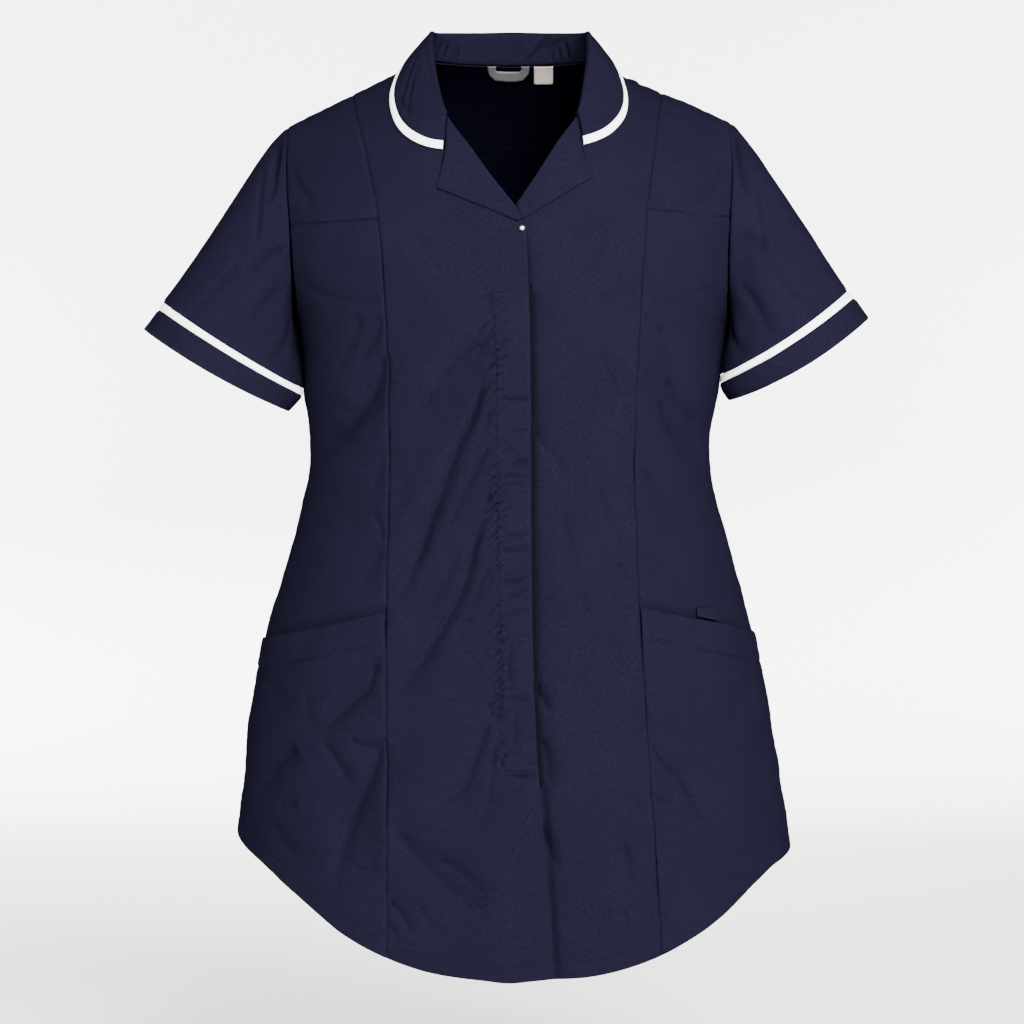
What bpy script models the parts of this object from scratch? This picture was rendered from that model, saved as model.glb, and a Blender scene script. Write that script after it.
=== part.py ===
"""Maternity tunic: a short-sleeved navy work tunic with a trimmed collar, filled out as if worn.

Every cloth piece is an open sheet laid on one body form and given its thickness by Solidify.
Sizes are in millimetres. +X is the wearer's left, the front faces -Y and +Z is up. The origin
is the middle of the neck base, level with the tops of the shoulder seams.
"""
import math
from collections import namedtuple

import bmesh
import bpy
from mathutils import Vector

MM = 0.001

# ---------------------------------------------------------------- driving sizes, mm
WALL = 1.2              # cloth, seam allowances pressed in
THIN_WALL = 0.8         # zip tape, labels
TRIM_WALL = 1.6         # white trim, folded double
SEAM_GAP = 0.4
LAYER = 1.9             # between the middles of two cloths that lie on each other

NECK_HALF = 74.0        # from the centre to the top of the shoulder seam
NECK_HEIGHT = 9.0
TIP_HALF = 199.8        # from the centre to the sleeve seam on the shoulder
UNDERARM = -230.0
FRONT_SHOULDER = 130.0  # height over which the front rounds up into the shoulder
BACK_SHOULDER = 100.0
SQUARENESS = 2.25       # 2 is an ellipse; more is squarer
SIDE_TURN = 89.95       # a panel stops this far round, just short of the side seam
RIDGE_INSET = 0.0015    # and this far under the shoulder seam, 0.3 mm before or behind it
BACK_NECK = 8.0
YOKE_CENTRE = -63.0
YOKE_ARMHOLE = -74.0

LAP_LIFT = 1.7          # the right front's edge lies this far over the form, the left's as far under
POCKET_OVER = 0.8
POCKET_UNDER = -1.1
POCKET_GAPE = 1.4       # how much further the pocket's mouth stands off
TRIM_WIDTH = 8.0
TRIM_GAP = 0.7          # collar to trim, whose thicker wall turns with the fall
ARMHOLE_GAP = 0.8       # the sleeve's edge from the armhole's, on the shoulder
UNDERARM_GAP = 1.9      # and under the arm, where sleeve and side lie face to face

SHOULDER_ROWS = 8       # rows of the mesh from the shoulder to the chest seam
ARM_ROWS = 6            # chest seam to underarm
CHEST_ROWS = 20         # chest seam to pocket mouth
SKIRT_ROWS = 14         # pocket mouth to hem
YOKE_ROWS = 7
BACK_ARM_ROWS = 7       # yoke seam to underarm
BACK_ROWS = 26          # yoke seam to hem

# The body form: half widths to the wearer's right and left, and depths to front and back.
Level = namedtuple("Level", "height right left front back")
LEVELS = (
    Level(20.0, 222.0, 222.0, 80.0, 88.0),
    Level(-50.0, 221.0, 221.0, 100.0, 98.0),
    Level(-100.0, 219.0, 219.0, 112.0, 107.0),
    Level(-145.0, 213.0, 214.0, 120.0, 112.0),
    Level(-190.0, 203.0, 206.0, 126.0, 113.0),
    Level(-230.0, 190.0, 195.0, 130.0, 111.0),
    Level(-285.0, 185.5, 187.0, 130.0, 104.0),
    Level(-333.0, 179.5, 179.0, 129.0, 99.0),
    Level(-370.0, 181.0, 181.0, 130.0, 100.0),
    Level(-405.0, 189.0, 190.0, 133.0, 105.0),
    Level(-460.0, 205.0, 205.0, 139.0, 113.0),
    Level(-530.0, 224.0, 223.0, 147.0, 124.0),
    Level(-600.0, 234.5, 235.5, 153.0, 132.0),
    Level(-684.0, 242.5, 249.0, 158.0, 138.0),
    Level(-810.0, 247.0, 260.0, 162.0, 143.0),
)

# Height of the shoulder seam to the wearer's right and left, carried on over the neck as an arch.
Shoulder = namedtuple("Shoulder", "across right left")
SHOULDER = (
    Shoulder(230.0, -70.0, -64.0),
    Shoulder(190.0, -47.8, -44.7),
    Shoulder(150.0, -27.7, -27.3),
    Shoulder(110.0, -8.2, -10.9),
    Shoulder(NECK_HALF, NECK_HEIGHT, NECK_HEIGHT),
    Shoulder(40.0, 19.5, 19.5),
    Shoulder(0.0, 23.0, 23.0),
)

# Height of the shirt-tail hem by the angle round the form, from the side seam to the centre.
Hem = namedtuple("Hem", "turn right left")
HEM = (
    Hem(90.0, -683.0, -698.0),
    Hem(75.0, -693.0, -703.0),
    Hem(60.0, -708.5, -715.5),
    Hem(45.0, -736.5, -747.0),
    Hem(30.0, -770.5, -777.7),
    Hem(15.0, -793.5, -797.0),
    Hem(0.0, -803.5, -801.5),
)

# Seams and edges as distances from the centre, towards the piece's own side.
Line = namedtuple("Line", "height across")
RIGHT_ARMHOLE = (
    Line(-50.0, 199.6),
    Line(-100.0, 198.6),
    Line(-145.0, 195.0),
    Line(-190.0, 191.5),
    Line(-215.0, 189.8),
    Line(-230.0, 190.0),
)
LEFT_ARMHOLE = (
    Line(-50.0, 198.4),
    Line(-100.0, 197.4),
    Line(-145.0, 194.6),
    Line(-190.0, 192.8),
    Line(-215.0, 193.4),
    Line(-230.0, 195.0),
)
RIGHT_PRINCESS = (
    Line(-27.0, 141.0),
    Line(-55.0, 134.5),
    Line(-80.0, 127.5),
    Line(-142.0, 115.5),
    Line(-240.0, 108.0),
    Line(-350.0, 105.5),
    Line(-485.0, 107.5),
    Line(-612.0, 107.0),
    Line(-780.0, 106.0),
)
LEFT_PRINCESS = (
    Line(-25.0, 135.5),
    Line(-80.0, 127.5),
    Line(-134.0, 120.5),
    Line(-240.0, 113.5),
    Line(-352.0, 109.0),
    Line(-440.0, 111.0),
    Line(-549.0, 117.0),
    Line(-662.0, 124.5),
    Line(-780.0, 131.5),
)
# The right front: neckline, roll line from the gorge to the stud, then the free edge that laps over.
RIGHT_EDGE = (
    Line(NECK_HEIGHT, NECK_HALF),
    Line(0.0, 71.5),
    Line(-24.0, 64.5),
    Line(-50.0, 56.0),
    Line(-80.0, 35.0),
    Line(-105.0, 17.5),
    Line(-133.0, -4.4),
    Line(-146.0, -11.4),
    Line(-155.0, -14.2),
    Line(-267.0, -18.0),
    Line(-440.0, -18.8),
    Line(-546.0, -20.8),
    Line(-625.0, -25.0),
    Line(-700.0, -32.0),
    Line(-802.0, -38.8),
)
LEFT_EDGE = (
    Line(NECK_HEIGHT, NECK_HALF),
    Line(0.0, 71.5),
    Line(-25.0, 65.5),
    Line(-51.0, 59.0),
    Line(-73.0, 43.5),
    Line(-101.0, 26.0),
    Line(-133.0, 4.4),
    Line(-150.0, -7.5),
    Line(-165.0, -11.0),
    Line(-802.0, -11.0),
)

# Each half of the tunic: seam heights at the princess seam and at the armhole or side.
Half = namedtuple(
    "Half",
    "name side armhole princess edge chest_princess chest_armhole mouth_princess mouth_side mouth_sag",
)
RIGHT = Half("right", -1, RIGHT_ARMHOLE, RIGHT_PRINCESS, RIGHT_EDGE,
             -142.0, -144.0, -485.0, -511.0, 6.0)
LEFT = Half("left", 1, LEFT_ARMHOLE, LEFT_PRINCESS, LEFT_EDGE,
            -133.0, -137.0, -481.0, -506.0, 4.0)
CHEST_EDGE = -133.0     # the chest row at the front's edge, where the fronts cross
MOUTH_EDGE = -487.0     # the pocket row at the front's edge

# The largest folds: a line from one place to another on the front or back, bowed sideways by bend,
# with its half width and how far it stands out (+) or in (-).
Fold = namedtuple("Fold", "back from_x from_z to_x to_z bend width lift")
FOLDS = (
    Fold(False, -20.0, -250.0, -102.0, -402.0, 6.0, 11.0, -3.2),
    Fold(False, -34.0, -345.0, -104.0, -482.0, 8.0, 11.0, -3.5),
    Fold(False, -14.0, -395.0, -98.0, -560.0, 14.0, 12.0, -4.0),
    Fold(False, 26.0, -318.0, 90.0, -470.0, -8.0, 13.0, -3.0),
    Fold(False, 48.0, -400.0, 106.0, -566.0, -6.0, 14.0, -3.0),
    Fold(False, -108.0, -262.0, -164.0, -345.0, -6.0, 12.0, -4.0),
    Fold(False, 126.0, -275.0, 168.0, -350.0, 6.0, 13.0, -4.0),
    Fold(False, -112.0, -528.0, -172.0, -592.0, -10.0, 9.0, -3.0),
    Fold(False, -110.0, -600.0, -146.0, -700.0, 4.0, 16.0, -5.0),
    Fold(False, -101.0, -676.0, -10.0, -750.0, -4.0, 17.0, -3.5),
    Fold(False, 150.0, -612.0, 180.0, -668.0, 3.0, 13.0, -4.0),
    Fold(True, -95.0, -210.0, -60.0, -330.0, 8.0, 16.0, -4.0),
    Fold(True, 100.0, -220.0, 55.0, -345.0, -8.0, 16.0, -4.0),
    Fold(True, -150.0, -250.0, -110.0, -350.0, 4.0, 14.0, -4.0),
    Fold(True, 156.0, -245.0, 118.0, -340.0, -5.0, 14.0, -4.0),
    Fold(True, -40.0, -360.0, -70.0, -560.0, -6.0, 20.0, -5.0),
    Fold(True, 30.0, -380.0, 82.0, -600.0, 8.0, 20.0, -5.0),
    Fold(True, -110.0, -450.0, -150.0, -650.0, 5.0, 22.0, -5.0),
    Fold(True, 130.0, -470.0, 160.0, -660.0, -5.0, 22.0, -5.0),
)

# Sleeve rings: the outermost and innermost points seen from the front, the half depths to
# the front and back about shift, and how far the front and back hang below the ends.
Ring = namedtuple("Ring", "name outer_x outer_z inner_x inner_z front back shift dip")
RIGHT_RINGS = (
    Ring("armhole", 199.8, -55.0, 191.5, -230.0, 52.0, 48.0, 0.0, 0.0),
    Ring("head", 214.8, -69.7, 191.7, -236.0, 52.0, 48.0, -1.0, 0.0),
    Ring("upper", 231.6, -93.6, 191.2, -244.0, 51.0, 48.0, -4.0, 0.5),
    Ring("middle", 272.6, -156.8, 188.6, -267.0, 48.0, 46.0, -14.0, 2.0),
    Ring("sleeve end", 309.4, -210.4, 186.4, -287.0, 46.0, 45.0, -22.0, 3.3),
    Ring("trim top", 309.6, -210.8, 186.3, -287.5, 46.0, 45.0, -22.0, 3.3),
    Ring("trim end", 313.6, -216.8, 185.6, -293.0, 46.0, 45.0, -22.6, 3.6),
    Ring("cuff top", 314.1, -217.5, 186.0, -293.9, 46.0, 45.0, -22.6, 3.6),
    Ring("cuff middle", 320.6, -226.2, 191.6, -301.0, 46.5, 45.5, -23.4, 4.3),
    Ring("cuff end", 327.2, -235.0, 198.6, -308.0, 47.0, 46.0, -24.0, 5.0),
)
LEFT_RINGS = (
    Ring("armhole", 199.6, -51.5, 196.5, -230.0, 52.0, 48.0, 0.0, 0.0),
    Ring("head", 215.3, -68.6, 196.4, -235.0, 52.0, 48.0, -1.0, 0.0),
    Ring("upper", 229.0, -88.5, 195.4, -242.0, 51.0, 48.0, -4.0, 1.0),
    Ring("middle", 262.4, -139.0, 191.4, -258.0, 48.0, 46.0, -14.0, 3.5),
    Ring("sleeve end", 301.3, -200.4, 188.9, -275.0, 46.0, 45.0, -22.0, 6.0),
    Ring("trim top", 301.5, -200.8, 188.9, -275.5, 46.0, 45.0, -22.0, 6.0),
    Ring("trim end", 307.0, -206.4, 187.9, -282.0, 46.0, 45.0, -22.6, 6.6),
    Ring("cuff top", 307.5, -207.1, 187.8, -282.8, 46.0, 45.0, -22.6, 6.6),
    Ring("cuff middle", 314.0, -216.0, 190.6, -290.5, 46.5, 45.5, -23.4, 8.0),
    Ring("cuff end", 320.6, -224.8, 196.6, -298.4, 47.0, 46.0, -24.0, 9.0),
)
# Folds on a sleeve: from and to as shares down the sleeve and degrees round from the shoulder
# towards the front, the half width in degrees and the lift in mm.
SleeveFold = namedtuple("SleeveFold", "from_down from_turn to_down to_turn width lift")
SLEEVE_FOLDS = (
    SleeveFold(0.08, 10.0, 0.16, 78.0, 16.0, -3.0),
    SleeveFold(0.10, 100.0, 0.95, 128.0, 16.0, -2.5),
    SleeveFold(0.15, -100.0, 0.90, -120.0, 18.0, -3.0),
)

# The collar: its stand's height and inward lean, where its finished outer edge lies and how far
# the fall bulges. The front half is read by the neck seam's height, the back by its half width.
Station = namedtuple("Station", "key stand lean edge_across edge_height bulge")
RIGHT_COLLAR = (
    Station(NECK_HEIGHT, 26.0, 0.26, 96.0, -1.5, 1.5),
    Station(2.0, 23.0, 0.14, 105.0, -26.0, 3.0),
    Station(-9.0, 17.0, 0.08, 103.5, -48.0, 4.0),
    Station(-24.0, 11.0, 0.05, 94.0, -66.0, 3.5),
    Station(-38.0, 7.0, 0.05, 77.0, -77.5, 3.0),
    Station(-52.0, 4.5, 0.05, 57.0, -82.0, 2.5),
)
LEFT_COLLAR = (
    Station(NECK_HEIGHT, 26.0, 0.28, 94.5, -1.8, 1.5),
    Station(2.0, 23.0, 0.14, 102.5, -27.0, 3.0),
    Station(-9.0, 17.0, 0.08, 101.5, -48.0, 4.0),
    Station(-24.0, 11.0, 0.05, 90.5, -64.5, 3.5),
    Station(-38.0, 7.0, 0.05, 77.5, -73.0, 3.0),
    Station(-52.0, 4.5, 0.05, 63.2, -78.0, 2.5),
)
COLLAR_BACK = (
    Station(NECK_HALF, 26.0, 0.27, 95.0, -1.6, 1.5),
    Station(60.0, 28.0, 0.27, 81.0, -7.0, 4.0),
    Station(36.0, 29.5, 0.22, 51.0, -7.0, 7.0),
    Station(0.0, 31.0, 0.20, 0.0, -5.0, 8.0),
)
COLLAR_FOLD = 2.4       # radius of the fold at the top
COLLAR_FOOT = 1.9       # the stand's lower edge from the middle of the neckline's cloth
COLLAR_LIFT = 3.0       # outer edge above the cloth it lies on
GORGE_HEIGHT = -51.0
FRONT_STATIONS = 11
BACK_STATIONS = 9
STAND_STEPS = 2
FOLD_STEPS = 5
LEAF_STEPS = 6
TRIM_STEPS = 2

# Lapel outlines: the corner by the collar, the point, and the tip at the stud, with the roll
# line's height at each.
Corner = namedtuple("Corner", "roll_height across height rows")
RIGHT_LAPEL = (
    Corner(-50.6, 55.6, -82.6, 0),
    Corner(-78.0, 63.4, -115.5, 4),
    Corner(-143.0, -6.4, -145.6, 9),
)
LEFT_LAPEL = (
    Corner(-51.6, 62.0, -78.6, 0),
    Corner(-72.0, 71.4, -106.5, 4),
    Corner(-131.0, 11.6, -143.0, 9),
)
LAPEL_COLUMNS = 5

ZIP_TOP = -200.0
ZIP_END = -632.0
ZIP_SHOWS = 3.4         # how far the tape shows past the right front's edge
ZIP_WIDTH = 16.0

STUD_X = 10.6
STUD_Z = -151.6
STUD_SEAT = 0.35
StudRing = namedtuple("StudRing", "radius height")
STUD_PROFILE = (
    StudRing(0.0, 1.7), StudRing(1.0, 1.55), StudRing(1.8, 1.05), StudRing(2.1, 0.75),
    StudRing(2.9, 0.75), StudRing(3.1, 0.5), StudRing(3.1, 0.0), StudRing(0.0, 0.0),
)

INNER_POCKET_X = (163.0, 182.0)
INNER_POCKET_TOP = -482.0
INNER_POCKET_LIFT = 1.6

# Hanger loop: the middle of the ribbon and its half width, and the bare size label.
Ribbon = namedtuple("Ribbon", "x z half")
LOOP = (
    Ribbon(-16.5, 9.2, 3.7), Ribbon(-16.5, 4.8, 3.7), Ribbon(-12.6, 1.4, 3.9),
    Ribbon(-3.0, 0.8, 4.1), Ribbon(5.0, 0.8, 4.1), Ribbon(10.0, 1.4, 3.9),
    Ribbon(13.7, 4.8, 3.7), Ribbon(13.7, 9.2, 3.7),
)
LABEL_X = (21.9, 39.4)
LABEL_Z = (8.8, -5.4)
LABEL_INSIDE = 1.9

NAVY = (0.021, 0.025, 0.060)
WHITE = (0.82, 0.82, 0.80)
GREY = (0.42, 0.43, 0.44)
BEIGE = (0.62, 0.55, 0.44)
BLACK = (0.010, 0.011, 0.018)
METAL = (0.80, 0.80, 0.80)


# ---------------------------------------------------------------- the body form
def read(rows, column, at):
    """A column of a table at any value of its first column, on a smooth curve through its rows."""
    keys = [row[0] for row in rows]
    values = [getattr(row, column) for row in rows]
    if at >= keys[0]:
        return values[0]
    if at <= keys[-1]:
        return values[-1]
    last = len(rows) - 1
    i = next(k for k in range(last) if keys[k + 1] <= at)
    before, after = max(0, i - 1), min(last, i + 2)
    span = keys[i + 1] - keys[i]
    start = (values[i + 1] - values[before]) / (keys[i + 1] - keys[before]) * span
    end = (values[after] - values[i]) / (keys[after] - keys[i]) * span
    t = (at - keys[i]) / span
    return ((2 * t**3 - 3 * t**2 + 1) * values[i] + (t**3 - 2 * t**2 + t) * start
            + (3 * t**2 - 2 * t**3) * values[i + 1] + (t**3 - t**2) * end)


def blend(a, b, share):
    return a + (b - a) * share


def ease(share):
    share = max(0.0, min(1.0, share))
    return share * share * (3 - 2 * share)


def half_width(side, z):
    return read(LEVELS, "left" if side > 0 else "right", z)


def ridge(x):
    return read(SHOULDER, "left" if x > 0 else "right", abs(x))


def depth(x, z, back):
    """How far the form stands in front of or behind the plane of the side and shoulder seams."""
    share = min(1.0, abs(x) / half_width(x, z))
    full = read(LEVELS, "back" if back else "front", z)
    section = (1 - share**SQUARENESS) ** (1 / SQUARENESS)
    drop = (ridge(x) - z) / (BACK_SHOULDER if back else FRONT_SHOULDER)
    drop = max(0.0, min(1.0, drop))
    return full * section * math.sqrt(1 - (1 - drop) ** 2)


def outward(x, z, back):
    """The form's outward direction, from its slopes just inside its own edges."""
    step = 0.05
    reach = half_width(x, z) * 0.9990
    x = max(-reach, min(reach, x))
    z = min(z, ridge(x) - 0.3)
    slope_x = (depth(x + step, z, back) - depth(x - step, z, back)) / (2 * step)
    slope_z = (depth(x, z + step, back) - depth(x, z - step, back)) / (2 * step)
    return Vector((-slope_x, 1 if back else -1, -slope_z)).normalized()


def fold_lift(x, z, back):
    total = 0.0
    for fold in FOLDS:
        if fold.back != back:
            continue
        run = Vector((fold.to_x - fold.from_x, fold.to_z - fold.from_z))
        here = Vector((x - fold.from_x, z - fold.from_z))
        share = here.dot(run) / run.length_squared
        if not 0 < share < 1:
            continue
        arch = 4 * share * (1 - share)
        off = (here.x * run.y - here.y * run.x) / run.length - fold.bend * arch
        total += fold.lift * math.sqrt(arch) * math.exp(-(off / fold.width) ** 2)
    return total


def lay(x, z, back=False, lift=0.0):
    """A place on the folded form, moved out by lift."""
    y = depth(x, z, back) * (1 if back else -1)
    return Vector((x, y, z)) + outward(x, z, back) * (lift + fold_lift(x, z, back))


def turn_of(across, side, z):
    """The angle round the form, from the centre to 90 degrees at the side seam."""
    share = max(-1.0, min(1.0, across / half_width(side, z)))
    return math.copysign(math.degrees(math.asin(abs(share) ** (SQUARENESS / 2))), share)


def across_of(turn, side, z):
    share = math.sin(math.radians(turn))
    return math.copysign(abs(share) ** (2 / SQUARENESS), share) * half_width(side, z)


def tip_height(half):
    return ridge(half.side * TIP_HALF)


def hem_height(turn, half):
    return read(HEM, half.name, abs(turn))


# ---------------------------------------------------------------- objects
def principled(name, colour, roughness, metallic=0.0):
    material = bpy.data.materials.new(name)
    material.use_nodes = True
    shader = material.node_tree.nodes["Principled BSDF"]
    shader.inputs["Base Color"].default_value = (*colour, 1.0)
    shader.inputs["Roughness"].default_value = roughness
    shader.inputs["Metallic"].default_value = metallic
    return material


def finish(obj, colour, roughness=0.85, metallic=0.0):
    obj.data.materials.append(principled(f"{obj.name}_finish", colour, roughness, metallic))
    obj.data.shade_smooth()
    for other in obj.users_collection:
        other.objects.unlink(obj)
    bpy.data.collections["maternity_tunic"].objects.link(obj)
    return obj


def sheet(name, rows, colour, wall=WALL, ring=False):
    """A cloth piece: a sheet through rows of places, thickened evenly to both sides."""
    mesh = bpy.data.meshes.new(name)
    made = bmesh.new()
    grid = [[made.verts.new(place * MM) for place in row] for row in rows]
    columns = len(rows[0]) if ring else len(rows[0]) - 1
    for upper, lower in zip(grid, grid[1:]):
        for i in range(columns):
            j = (i + 1) % len(upper)
            made.faces.new((upper[i], upper[j], lower[j], lower[i]))
    made.to_mesh(mesh)
    made.free()
    obj = bpy.data.objects.new(name, mesh)
    bpy.context.scene.collection.objects.link(obj)
    thickness = obj.modifiers.new("cloth", "SOLIDIFY")
    thickness.thickness = wall * MM
    thickness.offset = 0.0
    return finish(obj, colour)


# ---------------------------------------------------------------- rows shared by the panels
def run_of(start, end, rows, power=1.0):
    """Heights from start to end, closer together at the start for a power over 1."""
    return [blend(start, end, (k / rows) ** power) for k in range(1, rows + 1)]


def princess_heights(half):
    hem = -777.0
    for _ in range(4):
        hem = hem_height(turn_of(read(half.princess, "across", hem), half.side, hem), half)
    top = ridge(half.side * half.princess[0].across)
    return ([top] + run_of(top, half.chest_princess, SHOULDER_ROWS, 2.0)
            + run_of(half.chest_princess, half.mouth_princess, CHEST_ROWS)
            + run_of(half.mouth_princess, hem, SKIRT_ROWS))


def edge_heights(half):
    low = hem_height(turn_of(half.edge[-1].across, half.side, half.edge[-1].height), half)
    return ([NECK_HEIGHT] + run_of(NECK_HEIGHT, CHEST_EDGE, SHOULDER_ROWS, 2.0)
            + run_of(CHEST_EDGE, MOUTH_EDGE, CHEST_ROWS)
            + run_of(MOUTH_EDGE, low, SKIRT_ROWS))


def underarm_run(start, rows):
    """Heights down the armhole, closing up where it turns under the arm."""
    return [blend(UNDERARM, start, (1 - k / rows) ** 2) for k in range(1, rows + 1)]


def side_heights(half):
    top = tip_height(half)
    return ([top] + run_of(top, half.chest_armhole, SHOULDER_ROWS, 2.0)
            + underarm_run(half.chest_armhole, ARM_ROWS)
            + run_of(UNDERARM, half.mouth_side, CHEST_ROWS - ARM_ROWS)
            + run_of(half.mouth_side, hem_height(90.0, half), SKIRT_ROWS))


def armhole_turn(half, z):
    """How far round a panel reaches: to the armhole above the underarm, to the side seam below."""
    if z <= UNDERARM:
        return SIDE_TURN
    return min(SIDE_TURN, turn_of(read(half.armhole, "across", z), half.side, z))


def hem_share(row):
    """How much of the hem's curve a row takes, from none at the pocket mouth to all at the hem."""
    below = row - SHOULDER_ROWS - CHEST_ROWS
    return max(0.0, below / SKIRT_ROWS)


def front_place(half, row, share, edges, lines, lift):
    """A place on a front panel between two lines down the body, by row and by share across."""
    heights_in, heights_out = edges
    turn_in, turn_out = lines
    z = straight = blend(heights_in[row], heights_out[row], share)
    mouth = SHOULDER_ROWS + CHEST_ROWS
    for _ in range(4):
        turn = blend(turn_in(z), turn_out(z), share)
        hem_bow = hem_height(turn, half) - blend(heights_in[-1], heights_out[-1], share)
        z = straight + hem_bow * hem_share(row) ** 2
        if row >= SHOULDER_ROWS:
            near_mouth = max(0.0, 1 - abs(row - mouth) / SKIRT_ROWS)
            z -= lift.sag * 4 * share * (1 - share) * near_mouth
    if row == 0:
        z = ridge(half.side * across_of(turn, half.side, z)) - RIDGE_INSET
    x = half.side * across_of(turn, half.side, z)
    return lay(x, z, lift=lift.at(x, z, row))


class Lift:
    """How far a panel stands off the form, and how far its pocket row sags between seams."""

    def __init__(self, at, sag=0.0):
        self.at = at
        self.sag = sag


def seam(half, toward):
    """The princess seam as an angle, half a seam gap towards the side (+) or the centre (-)."""
    def turn(z):
        across = read(half.princess, "across", z) + toward * SEAM_GAP / 2
        return turn_of(across, half.side, z)
    return turn


def side_line(half):
    return lambda z: armhole_turn(half, z)


def front_edge(half):
    return lambda z: turn_of(read(half.edge, "across", z), half.side, z)


# ---------------------------------------------------------------- fronts
def lap(half):
    """The right front rides up where it laps over, and the left front dips beneath it."""
    def at(x, z, row):
        if half.side < 0:
            return LAP_LIFT * ease((x + 46.0) / 30.0)
        edge = -read(RIGHT_EDGE, "across", z)
        return -LAP_LIFT * (1 - ease((x - edge - 5.0) / 22.0))
    return at


def centre_front(half, columns=8):
    edges = (edge_heights(half), princess_heights(half))
    lines = (front_edge(half), seam(half, -1))
    lift = Lift(lap(half))
    rows = [[front_place(half, row, c / columns, edges, lines, lift) for c in range(columns + 1)]
            for row in range(SHOULDER_ROWS + CHEST_ROWS + SKIRT_ROWS + 1)]
    return sheet(f"{half.name}_centre_front", rows, NAVY)


def side_rows(half, first, last, columns, lift):
    edges = (princess_heights(half), side_heights(half))
    lines = (seam(half, 1), side_line(half))
    return [[front_place(half, row, c / columns, edges, lines, lift) for c in range(columns + 1)]
            for row in range(first, last + 1)]


def upper_side_front(half, columns=6):
    rows = side_rows(half, 0, SHOULDER_ROWS, columns, Lift(lambda x, z, row: 0.0))
    shift = Vector((0, 0, SEAM_GAP / 2))
    rows[-1] = [place + shift for place in rows[-1]]
    return sheet(f"{half.name}_upper_side_front", rows, NAVY)


def side_front(half, columns=7):
    mouth = SHOULDER_ROWS + CHEST_ROWS

    def at(x, z, row):
        return POCKET_UNDER * ease((row - mouth + 1) / 3)
    rows = side_rows(half, SHOULDER_ROWS, mouth + SKIRT_ROWS, columns, Lift(at, half.mouth_sag))
    shift = Vector((0, 0, SEAM_GAP / 2))
    rows[0] = [place - shift for place in rows[0]]
    return sheet(f"{half.name}_side_front", rows, NAVY)


def pocket_front(half, columns=7):
    """The side front's own lower rows again, moved out, with the mouth standing off further."""
    mouth = SHOULDER_ROWS + CHEST_ROWS

    def at(x, z, row):
        return POCKET_OVER + POCKET_GAPE * (1 - ease((row - mouth) / 3))
    rows = side_rows(half, mouth, mouth + SKIRT_ROWS, columns, Lift(at, half.mouth_sag))
    return sheet(f"{half.name}_pocket_front", rows, NAVY)


def inner_pocket(columns=3, rows=2):
    """The top of a small pocket that shows above the left pocket's mouth."""
    def place(x, share):
        start = seam(LEFT, 1)(LEFT.mouth_princess)
        along = (turn_of(x, LEFT.side, LEFT.mouth_side) - start) / (SIDE_TURN - start)
        mouth = blend(LEFT.mouth_princess, LEFT.mouth_side, along)
        mouth -= LEFT.mouth_sag * 4 * along * (1 - along)
        return lay(x, blend(INNER_POCKET_TOP, mouth + 1.5, share), lift=INNER_POCKET_LIFT)
    grid = [[place(blend(*INNER_POCKET_X, c / columns), r / rows) for c in range(columns + 1)]
            for r in range(rows + 1)]
    return sheet("left_inner_pocket", grid, NAVY, THIN_WALL)


def zip_tape(rows=26, columns=2):
    def place(share_down, share_across):
        z = blend(ZIP_TOP, ZIP_END, share_down)
        edge = -read(RIGHT_EDGE, "across", z)
        return lay(edge + ZIP_SHOWS - ZIP_WIDTH * (1 - share_across), z)
    grid = [[place(r / rows, c / columns) for c in range(columns + 1)] for r in range(rows + 1)]
    return sheet("zip_tape", grid, BLACK, THIN_WALL)


def press_stud(steps=20):
    """A turned cap on the right front, its axis along the cloth's outward direction."""
    out = outward(STUD_X, STUD_Z, False)
    on_front = LAP_LIFT + WALL / 2 + STUD_SEAT
    mesh = bpy.data.meshes.new("press_stud")
    profile = [Vector((ring.radius, 0, ring.height)) * MM for ring in STUD_PROFILE]
    mesh.from_pydata(profile, [(i, i + 1) for i in range(len(profile) - 1)], [])
    obj = bpy.data.objects.new("press_stud", mesh)
    bpy.context.scene.collection.objects.link(obj)
    screw = obj.modifiers.new("turned", "SCREW")
    screw.steps = screw.render_steps = steps
    screw.use_merge_vertices = True
    screw.merge_threshold = 0.00001
    screw.use_smooth_shade = True
    obj.location = lay(STUD_X, STUD_Z, lift=on_front) * MM
    obj.rotation_mode = "QUATERNION"
    obj.rotation_quaternion = out.to_track_quat("Z", "X")
    return finish(obj, METAL, 0.3, 0.6)


# ---------------------------------------------------------------- back
def yoke_seam(x):
    return blend(YOKE_CENTRE, YOKE_ARMHOLE, abs(x) / TIP_HALF)


def back_yoke(shoulder_columns=6, neck_columns=6):
    neck_turns = [90.0 * c / neck_columns for c in range(1, neck_columns + 1)]
    neck = [NECK_HALF * math.cos(math.radians(turn)) for turn in neck_turns]

    def place(half, column, row):
        share = row / YOKE_ROWS
        if column <= shoulder_columns:
            along = column / shoulder_columns
            end = blend(tip_height(half), YOKE_ARMHOLE, share**2)
            tip = read(half.armhole, "across", end)
            across = blend(tip, NECK_HALF, along)
            top = ridge(half.side * across) - RIDGE_INSET
        else:
            across = neck[column - shoulder_columns - 1]
            top = blend(BACK_NECK, NECK_HEIGHT, across / NECK_HALF)
        return lay(half.side * across, blend(top, yoke_seam(across), share**2), back=True)
    last = shoulder_columns + neck_columns
    rows = [[place(RIGHT, c, r) for c in range(last + 1)]
            + [place(LEFT, c, r) for c in range(last - 1, -1, -1)] for r in range(YOKE_ROWS + 1)]
    return sheet("back_yoke", rows, NAVY)


def back_side_heights(half):
    return ([YOKE_ARMHOLE] + underarm_run(YOKE_ARMHOLE, BACK_ARM_ROWS)
            + run_of(UNDERARM, hem_height(90.0, half), BACK_ROWS - BACK_ARM_ROWS))


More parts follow.
